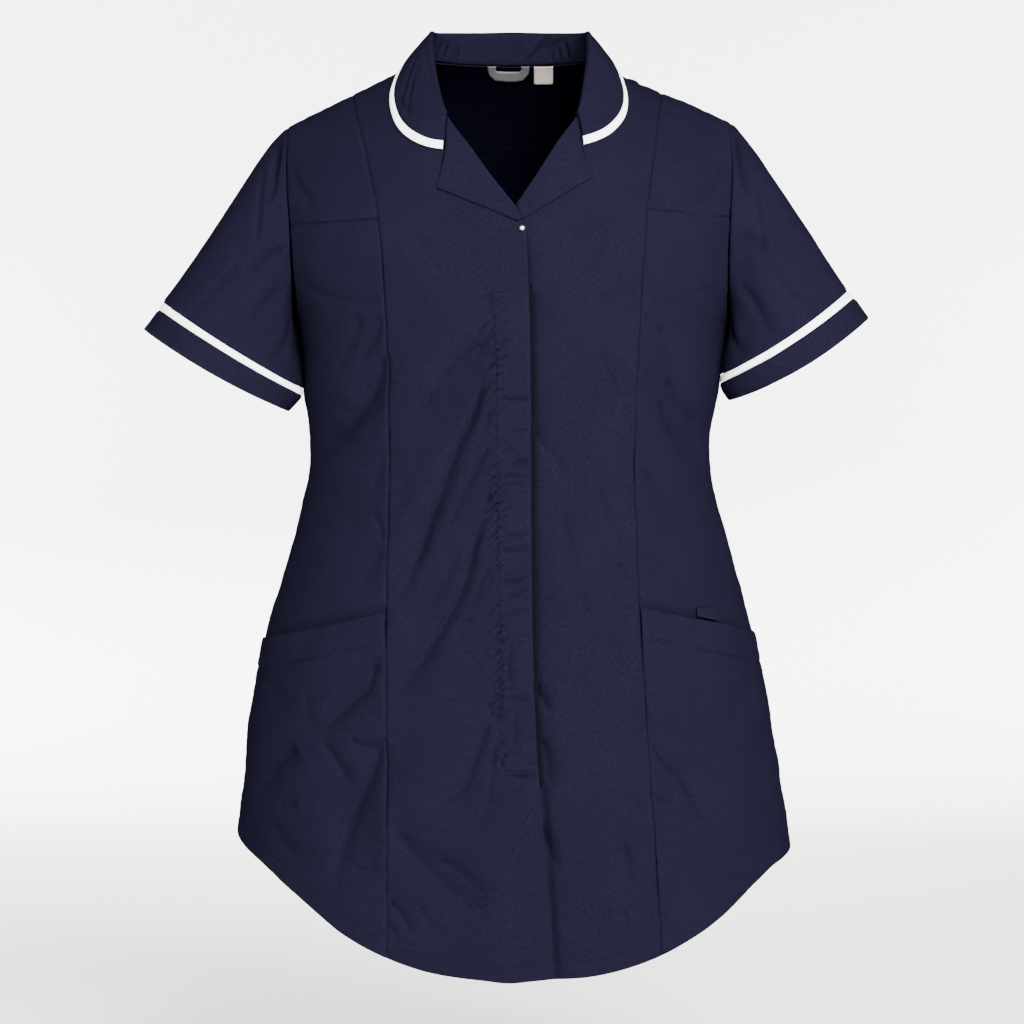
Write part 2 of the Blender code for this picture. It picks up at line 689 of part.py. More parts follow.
def back_panel(columns=10):
    low = (hem_height(0.0, RIGHT) + hem_height(0.0, LEFT)) / 2
    centre = [YOKE_CENTRE] + run_of(YOKE_CENTRE, low, BACK_ROWS)

    def place(half, row, share):
        heights = back_side_heights(half)
        z = straight = blend(centre[row], heights[row], share)
        for _ in range(4):
            turn = armhole_turn(half, z) * share
            across = across_of(turn, half.side, z)
            hem_bow = hem_height(turn, half) - blend(low, hem_height(90.0, half), share)
            seam_bow = yoke_seam(across) - SEAM_GAP - blend(centre[0], heights[0], share)
            down = row / BACK_ROWS
            z = straight + hem_bow * down**3 + seam_bow * (1 - down) ** 6
        return lay(half.side * across, z, back=True)
    rows = [[place(RIGHT, r, 1 - c / columns) for c in range(columns)]
            + [place(LEFT, r, c / columns) for c in range(columns + 1)]
            for r in range(BACK_ROWS + 1)]
    return sheet("back", rows, NAVY)


# ---------------------------------------------------------------- sleeves
def armhole_ring(half):
    """Heights round the armhole: down the front's rows, then up the back's."""
    arm = SHOULDER_ROWS + ARM_ROWS
    front = side_heights(half)[:arm + 1]
    yoke = [blend(tip_height(half), YOKE_ARMHOLE, (k / YOKE_ROWS) ** 2)
            for k in range(1, YOKE_ROWS, 2)]
    back = [tip_height(half)] + yoke + back_side_heights(half)[1:BACK_ARM_ROWS]
    return [(z, False) for z in front] + [(z, True) for z in reversed(back[1:])]


def armhole_place(half, z, back):
    share = (tip_height(half) - z) / (tip_height(half) - UNDERARM)
    gap = blend(ARMHOLE_GAP, UNDERARM_GAP, share**2)
    across = across_of(armhole_turn(half, z), half.side, z)
    return lay(half.side * across, z, back=back) + Vector((half.side * gap, 0, 0))


def ring_turn(half, z, back):
    """The angle round the sleeve, from the shoulder through the front, of a height at the armhole."""
    share = (tip_height(half) - z) / (tip_height(half) - UNDERARM)
    turn = math.degrees(math.acos(max(-1.0, min(1.0, 1 - 2 * share))))
    return -turn if back else turn


def oval_place(half, ring, turn):
    angle = math.radians(turn)
    outer = Vector((half.side * ring.outer_x, 0, ring.outer_z))
    inner = Vector((half.side * ring.inner_x, 0, ring.inner_z))
    sideways = math.sin(angle)
    place = blend(outer, inner, (1 - math.cos(angle)) / 2)
    place.y = ring.shift - sideways * (ring.front if sideways > 0 else ring.back)
    place.z -= ring.dip * sideways**2
    return place


def between_rings(rings, down):
    """The ring at a share of the way down the sleeve, on a smooth curve through the table."""
    lengths = [0.0]
    for a, b in zip(rings, rings[1:]):
        step = math.hypot(b.outer_x - a.outer_x, b.outer_z - a.outer_z)
        lengths.append(lengths[-1] + step)
    keyed = [Keyed(-length / lengths[-1], ring) for length, ring in zip(lengths, rings)]
    return keyed_ring(keyed, -down)


class Keyed(namedtuple("Keyed", "key ring")):
    """A sleeve ring and its place down the sleeve, read by column like any other row."""

    def __getattr__(self, column):
        return getattr(self.ring, column)


def keyed_ring(keyed, at):
    values = [read(keyed, column, at) for column in Ring._fields[1:]]
    return Ring("between", *values)


def sleeve_fold(down, turn):
    total = 0.0
    for fold in SLEEVE_FOLDS:
        share = (down - fold.from_down) / (fold.to_down - fold.from_down)
        if not 0 < share < 1:
            continue
        off = (turn - blend(fold.from_turn, fold.to_turn, share)) / fold.width
        total += fold.lift * math.sqrt(4 * share * (1 - share)) * math.exp(-off * off)
    return total


def sleeve(half, rings, rows=10):
    body = rings[:5]
    heights = armhole_ring(half)
    grid = []
    for row in range(rows + 1):
        down = row / rows
        ring = between_rings(body, down)
        line = []
        for z, back in heights:
            turn = ring_turn(half, z, back)
            place = oval_place(half, ring, turn)
            start = armhole_place(half, z, back) - oval_place(half, body[0], turn)
            centre = oval_place(half, ring, 0.0).lerp(oval_place(half, ring, 180.0), 0.5)
            out = (place - centre).normalized()
            line.append(place + start * (1 - down) ** 2 + out * sleeve_fold(down, turn))
        grid.append(line)
    return sheet(f"{half.name}_sleeve", grid, NAVY, ring=True)


def band(half, name, rings, colour, wall):
    turns = [ring_turn(half, z, back) for z, back in armhole_ring(half)]
    grid = [[oval_place(half, ring, turn) for turn in turns] for ring in rings]
    return sheet(name, grid, colour, wall, ring=True)


# ---------------------------------------------------------------- collar and lapels
def collar_station(half, share, back):
    """The collar's neck seam, stand and outer edge at a share of the way round."""
    if back:
        across = NECK_HALF * math.cos(math.radians(90.0 * share))
        row = COLLAR_BACK
        neck = lay(half.side * across, blend(BACK_NECK, NECK_HEIGHT, across / NECK_HALF), True)
        inward = Vector((-neck.x, -neck.y, 0))
        key = across
    else:
        key = blend(NECK_HEIGHT, GORGE_HEIGHT, share**2)
        row = LEFT_COLLAR if half.side > 0 else RIGHT_COLLAR
        neck = lay(half.side * read(half.edge, "across", key), key)
        inward = Vector((-half.side, 0, 0))
    values = {column: read(row, column, key) for column in Station._fields[1:]}
    edge_across = values["edge_across"]
    edge_height = min(values["edge_height"], ridge(half.side * edge_across) - RIDGE_INSET)
    edge = lay(half.side * edge_across, edge_height, back, COLLAR_LIFT)
    inward = inward.normalized()
    up = (Vector((0, 0, 1)) + inward * values["lean"]).normalized()
    return neck, inward, up, values["stand"], edge, values["bulge"]


def off_form(place, needed):
    """The place, moved out where it lies closer than needed to the form."""
    for _ in range(3):
        back = place.y > 0
        z = min(place.z, ridge(place.x) - RIDGE_INSET)
        on_form = Vector((place.x, depth(place.x, z, back) * (1 if back else -1), z))
        out = outward(place.x, z, back)
        short = needed - (place - on_form).dot(out)
        if short > 0:
            place = place + out * short
    return place


def collar_profile(neck, inward, up, stand, edge, bulge):
    """Up the stand, over the fold and down the fall to the outer edge."""
    foot = neck + (up + inward * 0.6).normalized() * COLLAR_FOOT
    fold = min(COLLAR_FOLD, stand * 0.36)
    out = Vector((edge.x - neck.x, edge.y - neck.y, 0)).normalized()
    top = neck + up * stand
    stand_top = top - up * fold
    turned = []
    for k in range(1, FOLD_STEPS + 1):
        angle = math.pi * k / FOLD_STEPS
        turned.append(stand_top + out * fold * (1 - math.cos(angle)) + up * fold * math.sin(angle))
    shoulder = turned[-1]
    lift = (out * 0.6 + Vector((0, 0, 0.8))) * bulge
    middle = (shoulder + edge) / 2 + lift
    leaf = []
    for k in range(1, LEAF_STEPS + TRIM_STEPS + 1):
        t = k / (LEAF_STEPS + TRIM_STEPS)
        place = shoulder * (1 - t) ** 2 + middle * 2 * t * (1 - t) + edge * t**2
        leaf.append(off_form(place, COLLAR_LIFT))
    stand_line = [foot.lerp(stand_top, k / STAND_STEPS) for k in range(STAND_STEPS + 1)]
    return stand_line + turned + leaf


def cut_back(line, length):
    """Split a profile at a length from its end: what stays, and the strip that is cut off."""
    left = length
    for i in range(len(line) - 1, 0, -1):
        step = (line[i] - line[i - 1]).length
        if step > left:
            cut = line[i].lerp(line[i - 1], left / step)
            return line[:i] + [cut], [cut] + line[i:]
        left -= step
    return line, []


def even(line, steps):
    """The same line through evenly spaced places."""
    lengths = [0.0]
    for a, b in zip(line, line[1:]):
        lengths.append(lengths[-1] + (b - a).length)
    places = []
    for k in range(steps + 1):
        at = lengths[-1] * k / steps
        i = min(len(line) - 2, max(j for j in range(len(line)) if lengths[j] <= at + 1e-9))
        span = lengths[i + 1] - lengths[i]
        places.append(line[i].lerp(line[i + 1], (at - lengths[i]) / span))
    return places


def collar_lines():
    """Profiles from the wearer's right front end, round the back, to the left front end."""
    lines = []
    for k in range(FRONT_STATIONS, 0, -1):
        lines.append(collar_profile(*collar_station(RIGHT, k / FRONT_STATIONS, False)))
    for k in range(BACK_STATIONS + 1):
        lines.append(collar_profile(*collar_station(RIGHT, k / BACK_STATIONS, True)))
    for k in range(BACK_STATIONS - 1, -1, -1):
        lines.append(collar_profile(*collar_station(LEFT, k / BACK_STATIONS, True)))
    for k in range(1, FRONT_STATIONS + 1):
        lines.append(collar_profile(*collar_station(LEFT, k / FRONT_STATIONS, False)))
    return lines


def collar():
    stand_steps = STAND_STEPS + FOLD_STEPS
    leaves = []
    trims = []
    for line in collar_lines():
        kept, _ = cut_back(line, TRIM_WIDTH + TRIM_GAP)
        _, strip = cut_back(line, TRIM_WIDTH)
        fall = even(kept[stand_steps:], LEAF_STEPS)
        leaves.append(kept[:stand_steps] + fall)
        trims.append(even(strip, TRIM_STEPS))
    sheet("collar", leaves, NAVY)
    sheet("collar_trim", trims, WHITE, TRIM_WALL)


def lapel(half, corners, name):
    """The turned-back facing: on its own front's places, moved out, from roll line to outline."""
    rows = []
    for start, end in zip(corners, corners[1:]):
        first = 0 if not rows else 1
        for k in range(first, end.rows + 1):
            share = k / end.rows
            roll_z = blend(start.roll_height, end.roll_height, share)
            roll_x = read(half.edge, "across", roll_z) - 0.8
            out_x = blend(start.across, end.across, share)
            out_z = blend(start.height, end.height, share)
            rows.append([(blend(roll_x, out_x, c / LAPEL_COLUMNS),
                          blend(roll_z, out_z, c / LAPEL_COLUMNS), c / LAPEL_COLUMNS)
                         for c in range(LAPEL_COLUMNS + 1)])
    ride = lap(half)

    def place(across, z, share):
        x = half.side * across
        return lay(x, z, lift=ride(x, z, 0) + LAYER + 1.2 * math.sin(math.pi * share) + 0.4 * share)
    return sheet(name, [[place(*spot) for spot in row] for row in rows], NAVY)


# ---------------------------------------------------------------- inside the back neck
def hanger_loop():
    rows = []
    for i, spot in enumerate(LOOP):
        before, after = LOOP[max(0, i - 1)], LOOP[min(len(LOOP) - 1, i + 1)]
        along = Vector((after.x - before.x, after.z - before.z)).normalized()
        across = Vector((-along.y, along.x)) * spot.half
        rows.append([lay(spot.x + across.x * end, min(spot.z + across.y * end, LOOP[0].z), True,
                         -LABEL_INSIDE) for end in (-1, 0, 1)])
    return sheet("hanger_loop", rows, GREY, THIN_WALL)


def size_label(columns=3, rows=2):
    grid = [[lay(blend(*LABEL_X, c / columns), blend(*LABEL_Z, r / rows), True, -LABEL_INSIDE)
             for c in range(columns + 1)] for r in range(rows + 1)]
    return sheet("size_label", grid, BEIGE, THIN_WALL)


def main():
    for old in list(bpy.data.objects):
        bpy.data.objects.remove(old, do_unlink=True)
    bpy.context.scene.collection.children.link(bpy.data.collections.new("maternity_tunic"))
    for half, rings, corners in ((RIGHT, RIGHT_RINGS, RIGHT_LAPEL), (LEFT, LEFT_RINGS, LEFT_LAPEL)):
        centre_front(half)
        upper_side_front(half)
        side_front(half)
        pocket_front(half)
        sleeve(half, rings)
        band(half, f"{half.name}_sleeve_trim", rings[5:7], WHITE, TRIM_WALL)
        band(half, f"{half.name}_cuff", rings[7:10], NAVY, WALL)
        lapel(half, corners, f"{half.name}_lapel")
    back_yoke()
    back_panel()
    collar()
    zip_tape()
    press_stud()
    inner_pocket()
    hanger_loop()
    size_label()


main()
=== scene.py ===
"""Looks of a navy maternity tunic: a short-sleeved work tunic filled out as if worn.

Every cloth piece is a thin shell on the form of its own CAD sheet. The sheet's outer side is
read back as rows and columns, drawn smooth, and given its creases, seams, hems and stitches.
Tables and shapes are in millimetres, and the finished meshes in metres. +X is the wearer's
left, the front faces -Y and +Z is up.
"""
import math
from collections import namedtuple

import bmesh
import bpy
import numpy as np
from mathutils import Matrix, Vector
from mathutils.kdtree import KDTree


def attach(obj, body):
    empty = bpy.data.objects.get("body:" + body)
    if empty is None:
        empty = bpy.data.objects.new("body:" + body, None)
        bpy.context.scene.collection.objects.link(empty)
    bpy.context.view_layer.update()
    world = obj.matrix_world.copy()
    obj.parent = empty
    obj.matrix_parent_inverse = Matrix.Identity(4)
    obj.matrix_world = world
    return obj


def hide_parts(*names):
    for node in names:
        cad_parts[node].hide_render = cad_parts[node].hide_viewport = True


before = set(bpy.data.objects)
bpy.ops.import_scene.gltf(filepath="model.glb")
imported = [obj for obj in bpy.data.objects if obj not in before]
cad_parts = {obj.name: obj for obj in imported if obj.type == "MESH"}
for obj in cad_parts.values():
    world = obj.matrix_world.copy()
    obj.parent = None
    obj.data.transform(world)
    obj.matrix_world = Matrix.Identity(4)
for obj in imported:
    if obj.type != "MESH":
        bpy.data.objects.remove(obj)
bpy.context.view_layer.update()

bl_info = {
    "name": "Maternity tunic",
    "version": (1, 0, 0),
    "blender": (4, 5, 0),
    "location": "3D View > Sidebar > Tunic",
    "description": "Models the cloth, trims, sewing and fastening of a maternity tunic on its frame",
    "category": "Object",
}

MM = 0.001
SIDES = ("right", "left")


def linear(colour):
    """An sRGB hex colour as Blender's linear red, green and blue."""
    parts = [int(colour[i:i + 2], 16) / 255 for i in (1, 3, 5)]
    return tuple(c / 12.92 if c <= 0.04045 else ((c + 0.055) / 1.055) ** 2.4 for c in parts)


# ---------------------------------------------------------------- sizes and colours
class TunicSizes(bpy.types.PropertyGroup):
    """Real sizes of the sewing and the cloth."""

    wall: bpy.props.FloatProperty(
        name="Cloth", description="Thickness of the navy cloth with its finish",
        default=0.9 * MM, unit="LENGTH")
    trim_wall: bpy.props.FloatProperty(
        name="Trim", description="Thickness of the white trim, folded double",
        default=1.3 * MM, unit="LENGTH")
    tape_wall: bpy.props.FloatProperty(
        name="Tape", description="Thickness of the zip tape, the hanger loop and the label",
        default=0.6 * MM, unit="LENGTH")
    front_cell: bpy.props.FloatProperty(
        name="Front mesh", description="Spacing of the mesh on the fronts",
        default=2.25 * MM, unit="LENGTH")
    back_cell: bpy.props.FloatProperty(
        name="Back mesh", description="Spacing of the mesh on the back",
        default=4.2 * MM, unit="LENGTH")
    sleeve_cell: bpy.props.FloatProperty(
        name="Sleeve mesh", description="Spacing of the mesh on the sleeves and collar",
        default=2.4 * MM, unit="LENGTH")
    stitch: bpy.props.FloatProperty(
        name="Stitch", description="Pitch of the lockstitch",
        default=2.8 * MM, unit="LENGTH")
    thread: bpy.props.FloatProperty(
        name="Thread", description="Width of the sewing thread",
        default=0.5 * MM, unit="LENGTH")


class TunicColours(bpy.types.PropertyGroup):
    """Colours of the finishes."""

    navy: bpy.props.FloatVectorProperty(
        name="Navy", description="The dyed cloth", default=linear("#0f0e1a"),
        subtype="COLOR", min=0.0, max=1.0)
    # Darker than the cloth: the thread's navy with painted shade for the dimples that stitches make.
    navy_thread: bpy.props.FloatVectorProperty(
        name="Thread", description="The sewing thread, a little glossier than the cloth",
        default=linear("#070717"), subtype="COLOR", min=0.0, max=1.0)
    white: bpy.props.FloatVectorProperty(
        name="White", description="The trim", default=linear("#f8f9fc"),
        subtype="COLOR", min=0.0, max=1.0)
    ribbon: bpy.props.FloatVectorProperty(
        name="Ribbon", description="The hanger loop", default=linear("#4a4a4d"),
        subtype="COLOR", min=0.0, max=1.0)
    label: bpy.props.FloatVectorProperty(
        name="Label", description="The plain size label", default=linear("#aca29c"),
        subtype="COLOR", min=0.0, max=1.0)
    # The tape is darker than the cloth: partly its own colour, partly painted shade for the gap beside
    # the front's edge.
    tape: bpy.props.FloatVectorProperty(
        name="Tape", description="The zip tape", default=linear("#08080d"),
        subtype="COLOR", min=0.0, max=1.0)


def sizes():
    """The sizes as the user has set them."""
    return bpy.context.scene.tunic_sizes


def colours():
    """The colours as the user has set them."""
    return bpy.context.scene.tunic_colours


# ---------------------------------------------------------------- reading a CAD sheet
CAD_WALLS = (1.2, 1.6, 0.8)     # the CAD sheets' thicknesses: cloth, trim, tape
WALL_TOLERANCE = 0.001
MERGE = 0.01 * MM


def merged_copy(node):
    """The node's loose triangles, merged in a mesh of its own."""
    made = bmesh.new()
    made.from_mesh(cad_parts[node].data)
    bmesh.ops.remove_doubles(made, verts=made.verts, dist=MERGE)
    made.faces.ensure_lookup_table()
    made.normal_update()
    return made


def partners(made, wall):
    """Each vertex's fellow on the sheet's other side, which lies just one wall away."""
    tree = KDTree(len(made.verts))
    for i, vertex in enumerate(made.verts):
        tree.insert(vertex.co / MM, i)
    tree.balance()
    near = {}
    for i, vertex in enumerate(made.verts):
        found = tree.find_range(vertex.co / MM, wall + WALL_TOLERANCE)
        near[i] = {j for _, j, far in found if abs(far - wall) < WALL_TOLERANCE}
    pairs = {}
    while near:
        i = min(near, key=lambda k: (len(near[k]), k))
        if not near[i]:
            return None
        j = min(near[i])
        pairs[i] = j
        pairs[j] = i
        for done in (i, j):
            near.pop(done, None)
        for others in near.values():
            others -= {i, j}
    return pairs


def broad_sides(made):
    """The outer and inner side of a sheet: what is left of it without the faces of its rim."""
    made.verts.index_update()
    pairs = next(filter(None, (partners(made, wall) for wall in CAD_WALLS)), None)
    if pairs is None:
        raise RuntimeError("the CAD sheet has no even wall")
    broad = []
    for face in made.faces:
        corners = {vertex.index for vertex in face.verts}
        if not any(pairs[i] in corners for i in corners):
            broad.append(face)
    groups = []
    left = dict.fromkeys(broad)
    while left:
        group = [next(iter(left))]
        del left[group[0]]
        for face in group:
            for edge in face.edges:
                for other in edge.link_faces:
                    if other in left:
                        del left[other]
                        group.append(other)
        groups.append(group)
    if len(groups) != 2:
        raise RuntimeError("the CAD sheet's two sides can't be told from its rim")
    return groups


def pick_side(groups, facing):
    """The side that faces along facing or, on a rounded piece, the larger one."""
    def score(group):
        if facing is None:
            return sum(face.calc_area() for face in group)
        return sum(face.normal.dot(facing) * face.calc_area() for face in group)
    return max(groups, key=score)


def side_links(group):
    """Each vertex's neighbours on the side, and the links along its border."""
    inside = set(group)
    links = {}
    border = {}
    for face in group:
        for edge in face.edges:
            a, b = edge.verts
            links.setdefault(a, set()).add(b)
            links.setdefault(b, set()).add(a)
            if sum(other in inside for other in edge.link_faces) == 1:
                border.setdefault(a, set()).add(b)
                border.setdefault(b, set()).add(a)
    return links, border


def loops_of(border):
    """The border as closed loops of vertices."""
    loops = []
    left = dict.fromkeys(border)
    while left:
        start = next(iter(left))
        loop = [start]
        del left[start]
        while True:
            step = [v for v in sorted(border[loop[-1]], key=lambda v: v.index) if v in left]
            if not step:
                break
            loop.append(step[0])
            del left[step[0]]
        loops.append(loop)
    return loops


def walk(layer, links, start):
    """The vertices of one layer in their order along it."""
    line = [start]
    left = layer - {start}
    while left:
        step = [v for v in sorted(left, key=lambda v: v.index) if v in links[line[-1]]]
        if not step:
            return None
        line.append(step[0])
        left.discard(step[0])
    return line


def corner_turns(loop):
    """How sharply the loop turns at each of its vertices."""
    turns = []
    for i, vertex in enumerate(loop):
        before = vertex.co - loop[i - 1].co
        after = loop[(i + 1) % len(loop)].co - vertex.co
        turns.append(before.angle(after))
    return turns


def layers_from(loop, wide, high, links):
    """The rows that start from the loop's first run of vertices, or None if they don't add up."""
    rows = [loop[:wide]]
    first_column = [loop[0]] + loop[:0:-1]
    used = set(rows[0])
    for k in range(1, high):
        layer = {v for old in rows[-1] for v in links[old]} - used
        if len(layer) != wide or first_column[k] not in layer:
            return None
        used |= layer
        line = walk(layer, links, first_column[k])
        if line is None or line[-1] is not loop[wide - 1 + k]:
            return None
        rows.append(line)
    return rows


def open_grid(group):
    """The rows of an open sheet, from the four corners of its border."""
    links, border = side_links(group)
    loop = loops_of(border)[0]
    half_round = len(loop) // 2 + 2
    root = math.sqrt(half_round**2 - 4 * len(links))
    counts = (round((half_round + root) / 2), round((half_round - root) / 2))
    turns = corner_turns(loop)
    tries = []
    for wide, high in (counts, counts[::-1]):
        corners = (0, wide - 1, wide + high - 2, 2 * wide + high - 3)
        for start in range(len(loop)):
            sharp = sum(turns[(start + c) % len(loop)] for c in corners)
            tries.append((-sharp, start, wide, high))
    for _, start, wide, high in sorted(tries):
        rows = layers_from(loop[start:] + loop[:start], wide, high, links)
        if rows:
            return [[vertex.co / MM for vertex in line] for line in rows]
    raise RuntimeError("the CAD sheet has no four corners")


def ring_grid(group, down):
    """The rings of a tube, each starting beside the one before."""
    links, border = side_links(group)
    first = min(loops_of(border), key=lambda loop: sum(v.co.dot(down) for v in loop))
    rows = [list(first)]
    used = set(first)
    while len(used) < len(links):
        layer = {v for old in rows[-1] for v in links[old]} - used
        used |= layer
        line = walk(layer, links, min(layer, key=lambda v: v.index))
        rows.append(nearest_turn(rows[-1], line))
    return [[vertex.co / MM for vertex in line] for line in rows]


def nearest_turn(before, line):
    """The ring turned, and flipped if need be, to lie point by point beside the one before."""
    middle = sum((v.co for v in before), Vector()) / len(before)
    centre = sum((v.co for v in line), Vector()) / len(line)
    places = [v.co - middle for v in before]
    best = None
    for way in (line, line[::-1]):
        for start in range(len(way)):
            turned = way[start:] + way[:start]
            far = sum((v.co - centre - p).length_squared for v, p in zip(turned, places))
            if best is None or far < best[0]:
                best = (far, turned)
    return best[1]


def facing_out(grid, group):
    """Whether down crossed with across points the way the side's faces do."""
    centre = len(grid) // 2
    row = grid[centre]
    middle = len(row) // 2
    here = Vector(row[middle])
    down = Vector(grid[centre - 1][middle]) - here
    across = Vector(row[middle - 1]) - here
    nearest = min(group, key=lambda f: (f.calc_center_median() / MM - here).length_squared)
    return down.cross(across).dot(nearest.normal) > 0


def read_sheet(node, down=(0, 0, -1), facing=None, ring=False):
    """The outer side of a CAD sheet as an array of rows, running down, by columns."""
    made = merged_copy(node)
    down = Vector(down)
    group = pick_side(broad_sides(made), None if facing is None else Vector(facing))
    grid = ring_grid(group, down) if ring else open_grid(group)
    if not ring:
        places = np.array(grid)
        rows_run = (places[-1].mean(0) - places[0].mean(0)) @ np.array(down)
        columns_run = (places[:, -1].mean(0) - places[:, 0].mean(0)) @ np.array(down)
        if abs(columns_run) > abs(rows_run):
            places = places.transpose(1, 0, 2)
            rows_run = columns_run
        if rows_run < 0:
            places = places[::-1]
        grid = [list(map(Vector, row)) for row in places]
    places = np.array(grid)
    if not facing_out(grid, group):
        places = places[:, ::-1]
    if ring:
        top = int(places[0, :, 2].argmax())
        places = np.roll(places, -top, axis=1)
    made.free()
    return places


# ---------------------------------------------------------------- smooth curves and folds
def slope_weights(knots, breaks):
    """At each knot, the weights of all the knots' values that give the curve's slope there."""
    count = len(knots)
    weights = np.zeros((count, count))
    for j in range(count):
        if count == 2:
            weights[j, 0], weights[j, 1] = -1 / (knots[1] - knots[0]), 1 / (knots[1] - knots[0])
            continue
        if j == 0 or j == count - 1:
            a, b, c = (0, 1, 2) if j == 0 else (j, j - 1, j - 2)
        elif j in breaks:
            continue
        else:
            a, b, c = j, j - 1, j + 1
        u, v = knots[b] - knots[a], knots[c] - knots[a]
        weights[j, b] = v / (u * (v - u))
        weights[j, c] = -u / (v * (v - u))
        weights[j, a] = -weights[j, b] - weights[j, c]
    return weights


def curve_weights(knots, at, ring=False, breaks=()):
    """Weights of the knots' values for the smooth curve through them, a row for each of at."""
    if ring:
        turn = knots[-1]
        around = np.concatenate([knots[-4:-1] - turn, knots, knots[1:4] + turn])
        wide = curve_weights(around, np.mod(at, turn))
        weights = wide[:, 3:3 + len(knots)].copy()
        weights[:, -4:-1] += wide[:, :3]
        weights[:, 1:4] += wide[:, -3:]
        weights[:, 0] += weights[:, -1]
        return weights[:, :-1]
    slopes = slope_weights(knots, breaks)
    i = np.clip(np.searchsorted(knots, at, side="right") - 1, 0, len(knots) - 2)
    step = knots[i + 1] - knots[i]
    full = (at - knots[i]) / step
    t = np.clip(full, 0, 1)
    start, end = slopes[i].copy(), slopes[i + 1].copy()
    for j in breaks:
        here = np.zeros(len(knots))
        gap = knots[j + 1] - knots[j]
        here[j], here[j + 1] = -1 / gap, 1 / gap
        start[i == j] = here
        there = np.zeros(len(knots))
        gap = knots[j] - knots[j - 1]
        there[j - 1], there[j] = -1 / gap, 1 / gap
        end[i == j - 1] = there
    each = np.eye(len(knots))
    weights = ((2 * t**3 - 3 * t**2 + 1)[:, None] * each[i]
               + (3 * t**2 - 2 * t**3)[:, None] * each[i + 1]
               + ((t**3 - 2 * t**2 + t) * step)[:, None] * start
               + ((t**3 - t**2) * step)[:, None] * end)
    past = (full - t) * step
    return weights + past[:, None] * np.where((full > 1)[:, None], end, start)


def smooth_step(share):
    """A share eased in and out, and held to 0 and 1 beyond them."""
    share = np.clip(share, 0, 1)
    return share * share * (3 - 2 * share)


def ripple(along, key, pitch):
    """An uneven run of small waves, from -1 to 1, the same for the same key."""
    total = 0
    for k, (stretch, size) in enumerate(((1.0, 0.45), (0.61, 0.35), (1.73, 0.3), (3.1, 0.25))):
        total = total + size * np.sin(2 * math.pi * along / (pitch * stretch) + key * (k + 1) * 1.7)
    return total


UNREST = (      # length of the wave, the way it runs and its height
    (74.0, 0.5, 0.40), (47.0, 1.9, 0.26), (31.0, 2.7, 0.15), (23.0, 0.9, 0.10), (58.0, 2.3, 0.30),
    (12.5, 1.3, 0.03), (9.0, 2.6, 0.02),
)


def unrest(x, z, key):
    """Slow, shallow unevenness of worn cloth, calmer over the chest, in millimetres."""
    total = 0
    for k, (run, turn, size) in enumerate(UNREST):
        along = x * math.cos(turn) + z * math.sin(turn)
        sway = 0.8 * np.sin((x * math.sin(turn) - z * math.cos(turn)) / (run * 0.9) + key * (k + 2))
        total = total + size * np.sin(2 * math.pi * along / run + sway + key * 2.3 * (k + 1))
    return total * (0.45 + 0.55 * smooth_step((-z - 180.0) / 120.0))


# A crease runs from one place to another, bowed sideways by bend. It has a half width, how far it
# stands out (+) or in (-), and the lip that stands up on one side of a trough (+ left of its run).
Crease = namedtuple("Crease", "from_x from_z to_x to_z bend width lift lip")


def creases(*rows):
    """A table of creases, from rows of their eight columns."""
    return tuple(Crease(*row) for row in rows)


FRONT_CREASES = creases(
    # chest and shoulders
    (-196, -86, -168, -134, 4, 7, -1, 0.4),
    (194, -84, 166, -126, -4, 7, -1, -0.4),
    (-84, -150, -44, -196, 6, 12, -0.8, 0),
    (84, -150, 52, -196, -6, 12, -0.8, 0),
    (-186, -196, -120, -214, 5, 8, -0.9, 0.3),
    (188, -192, 124, -214, -5, 8, -0.9, -0.3),
)
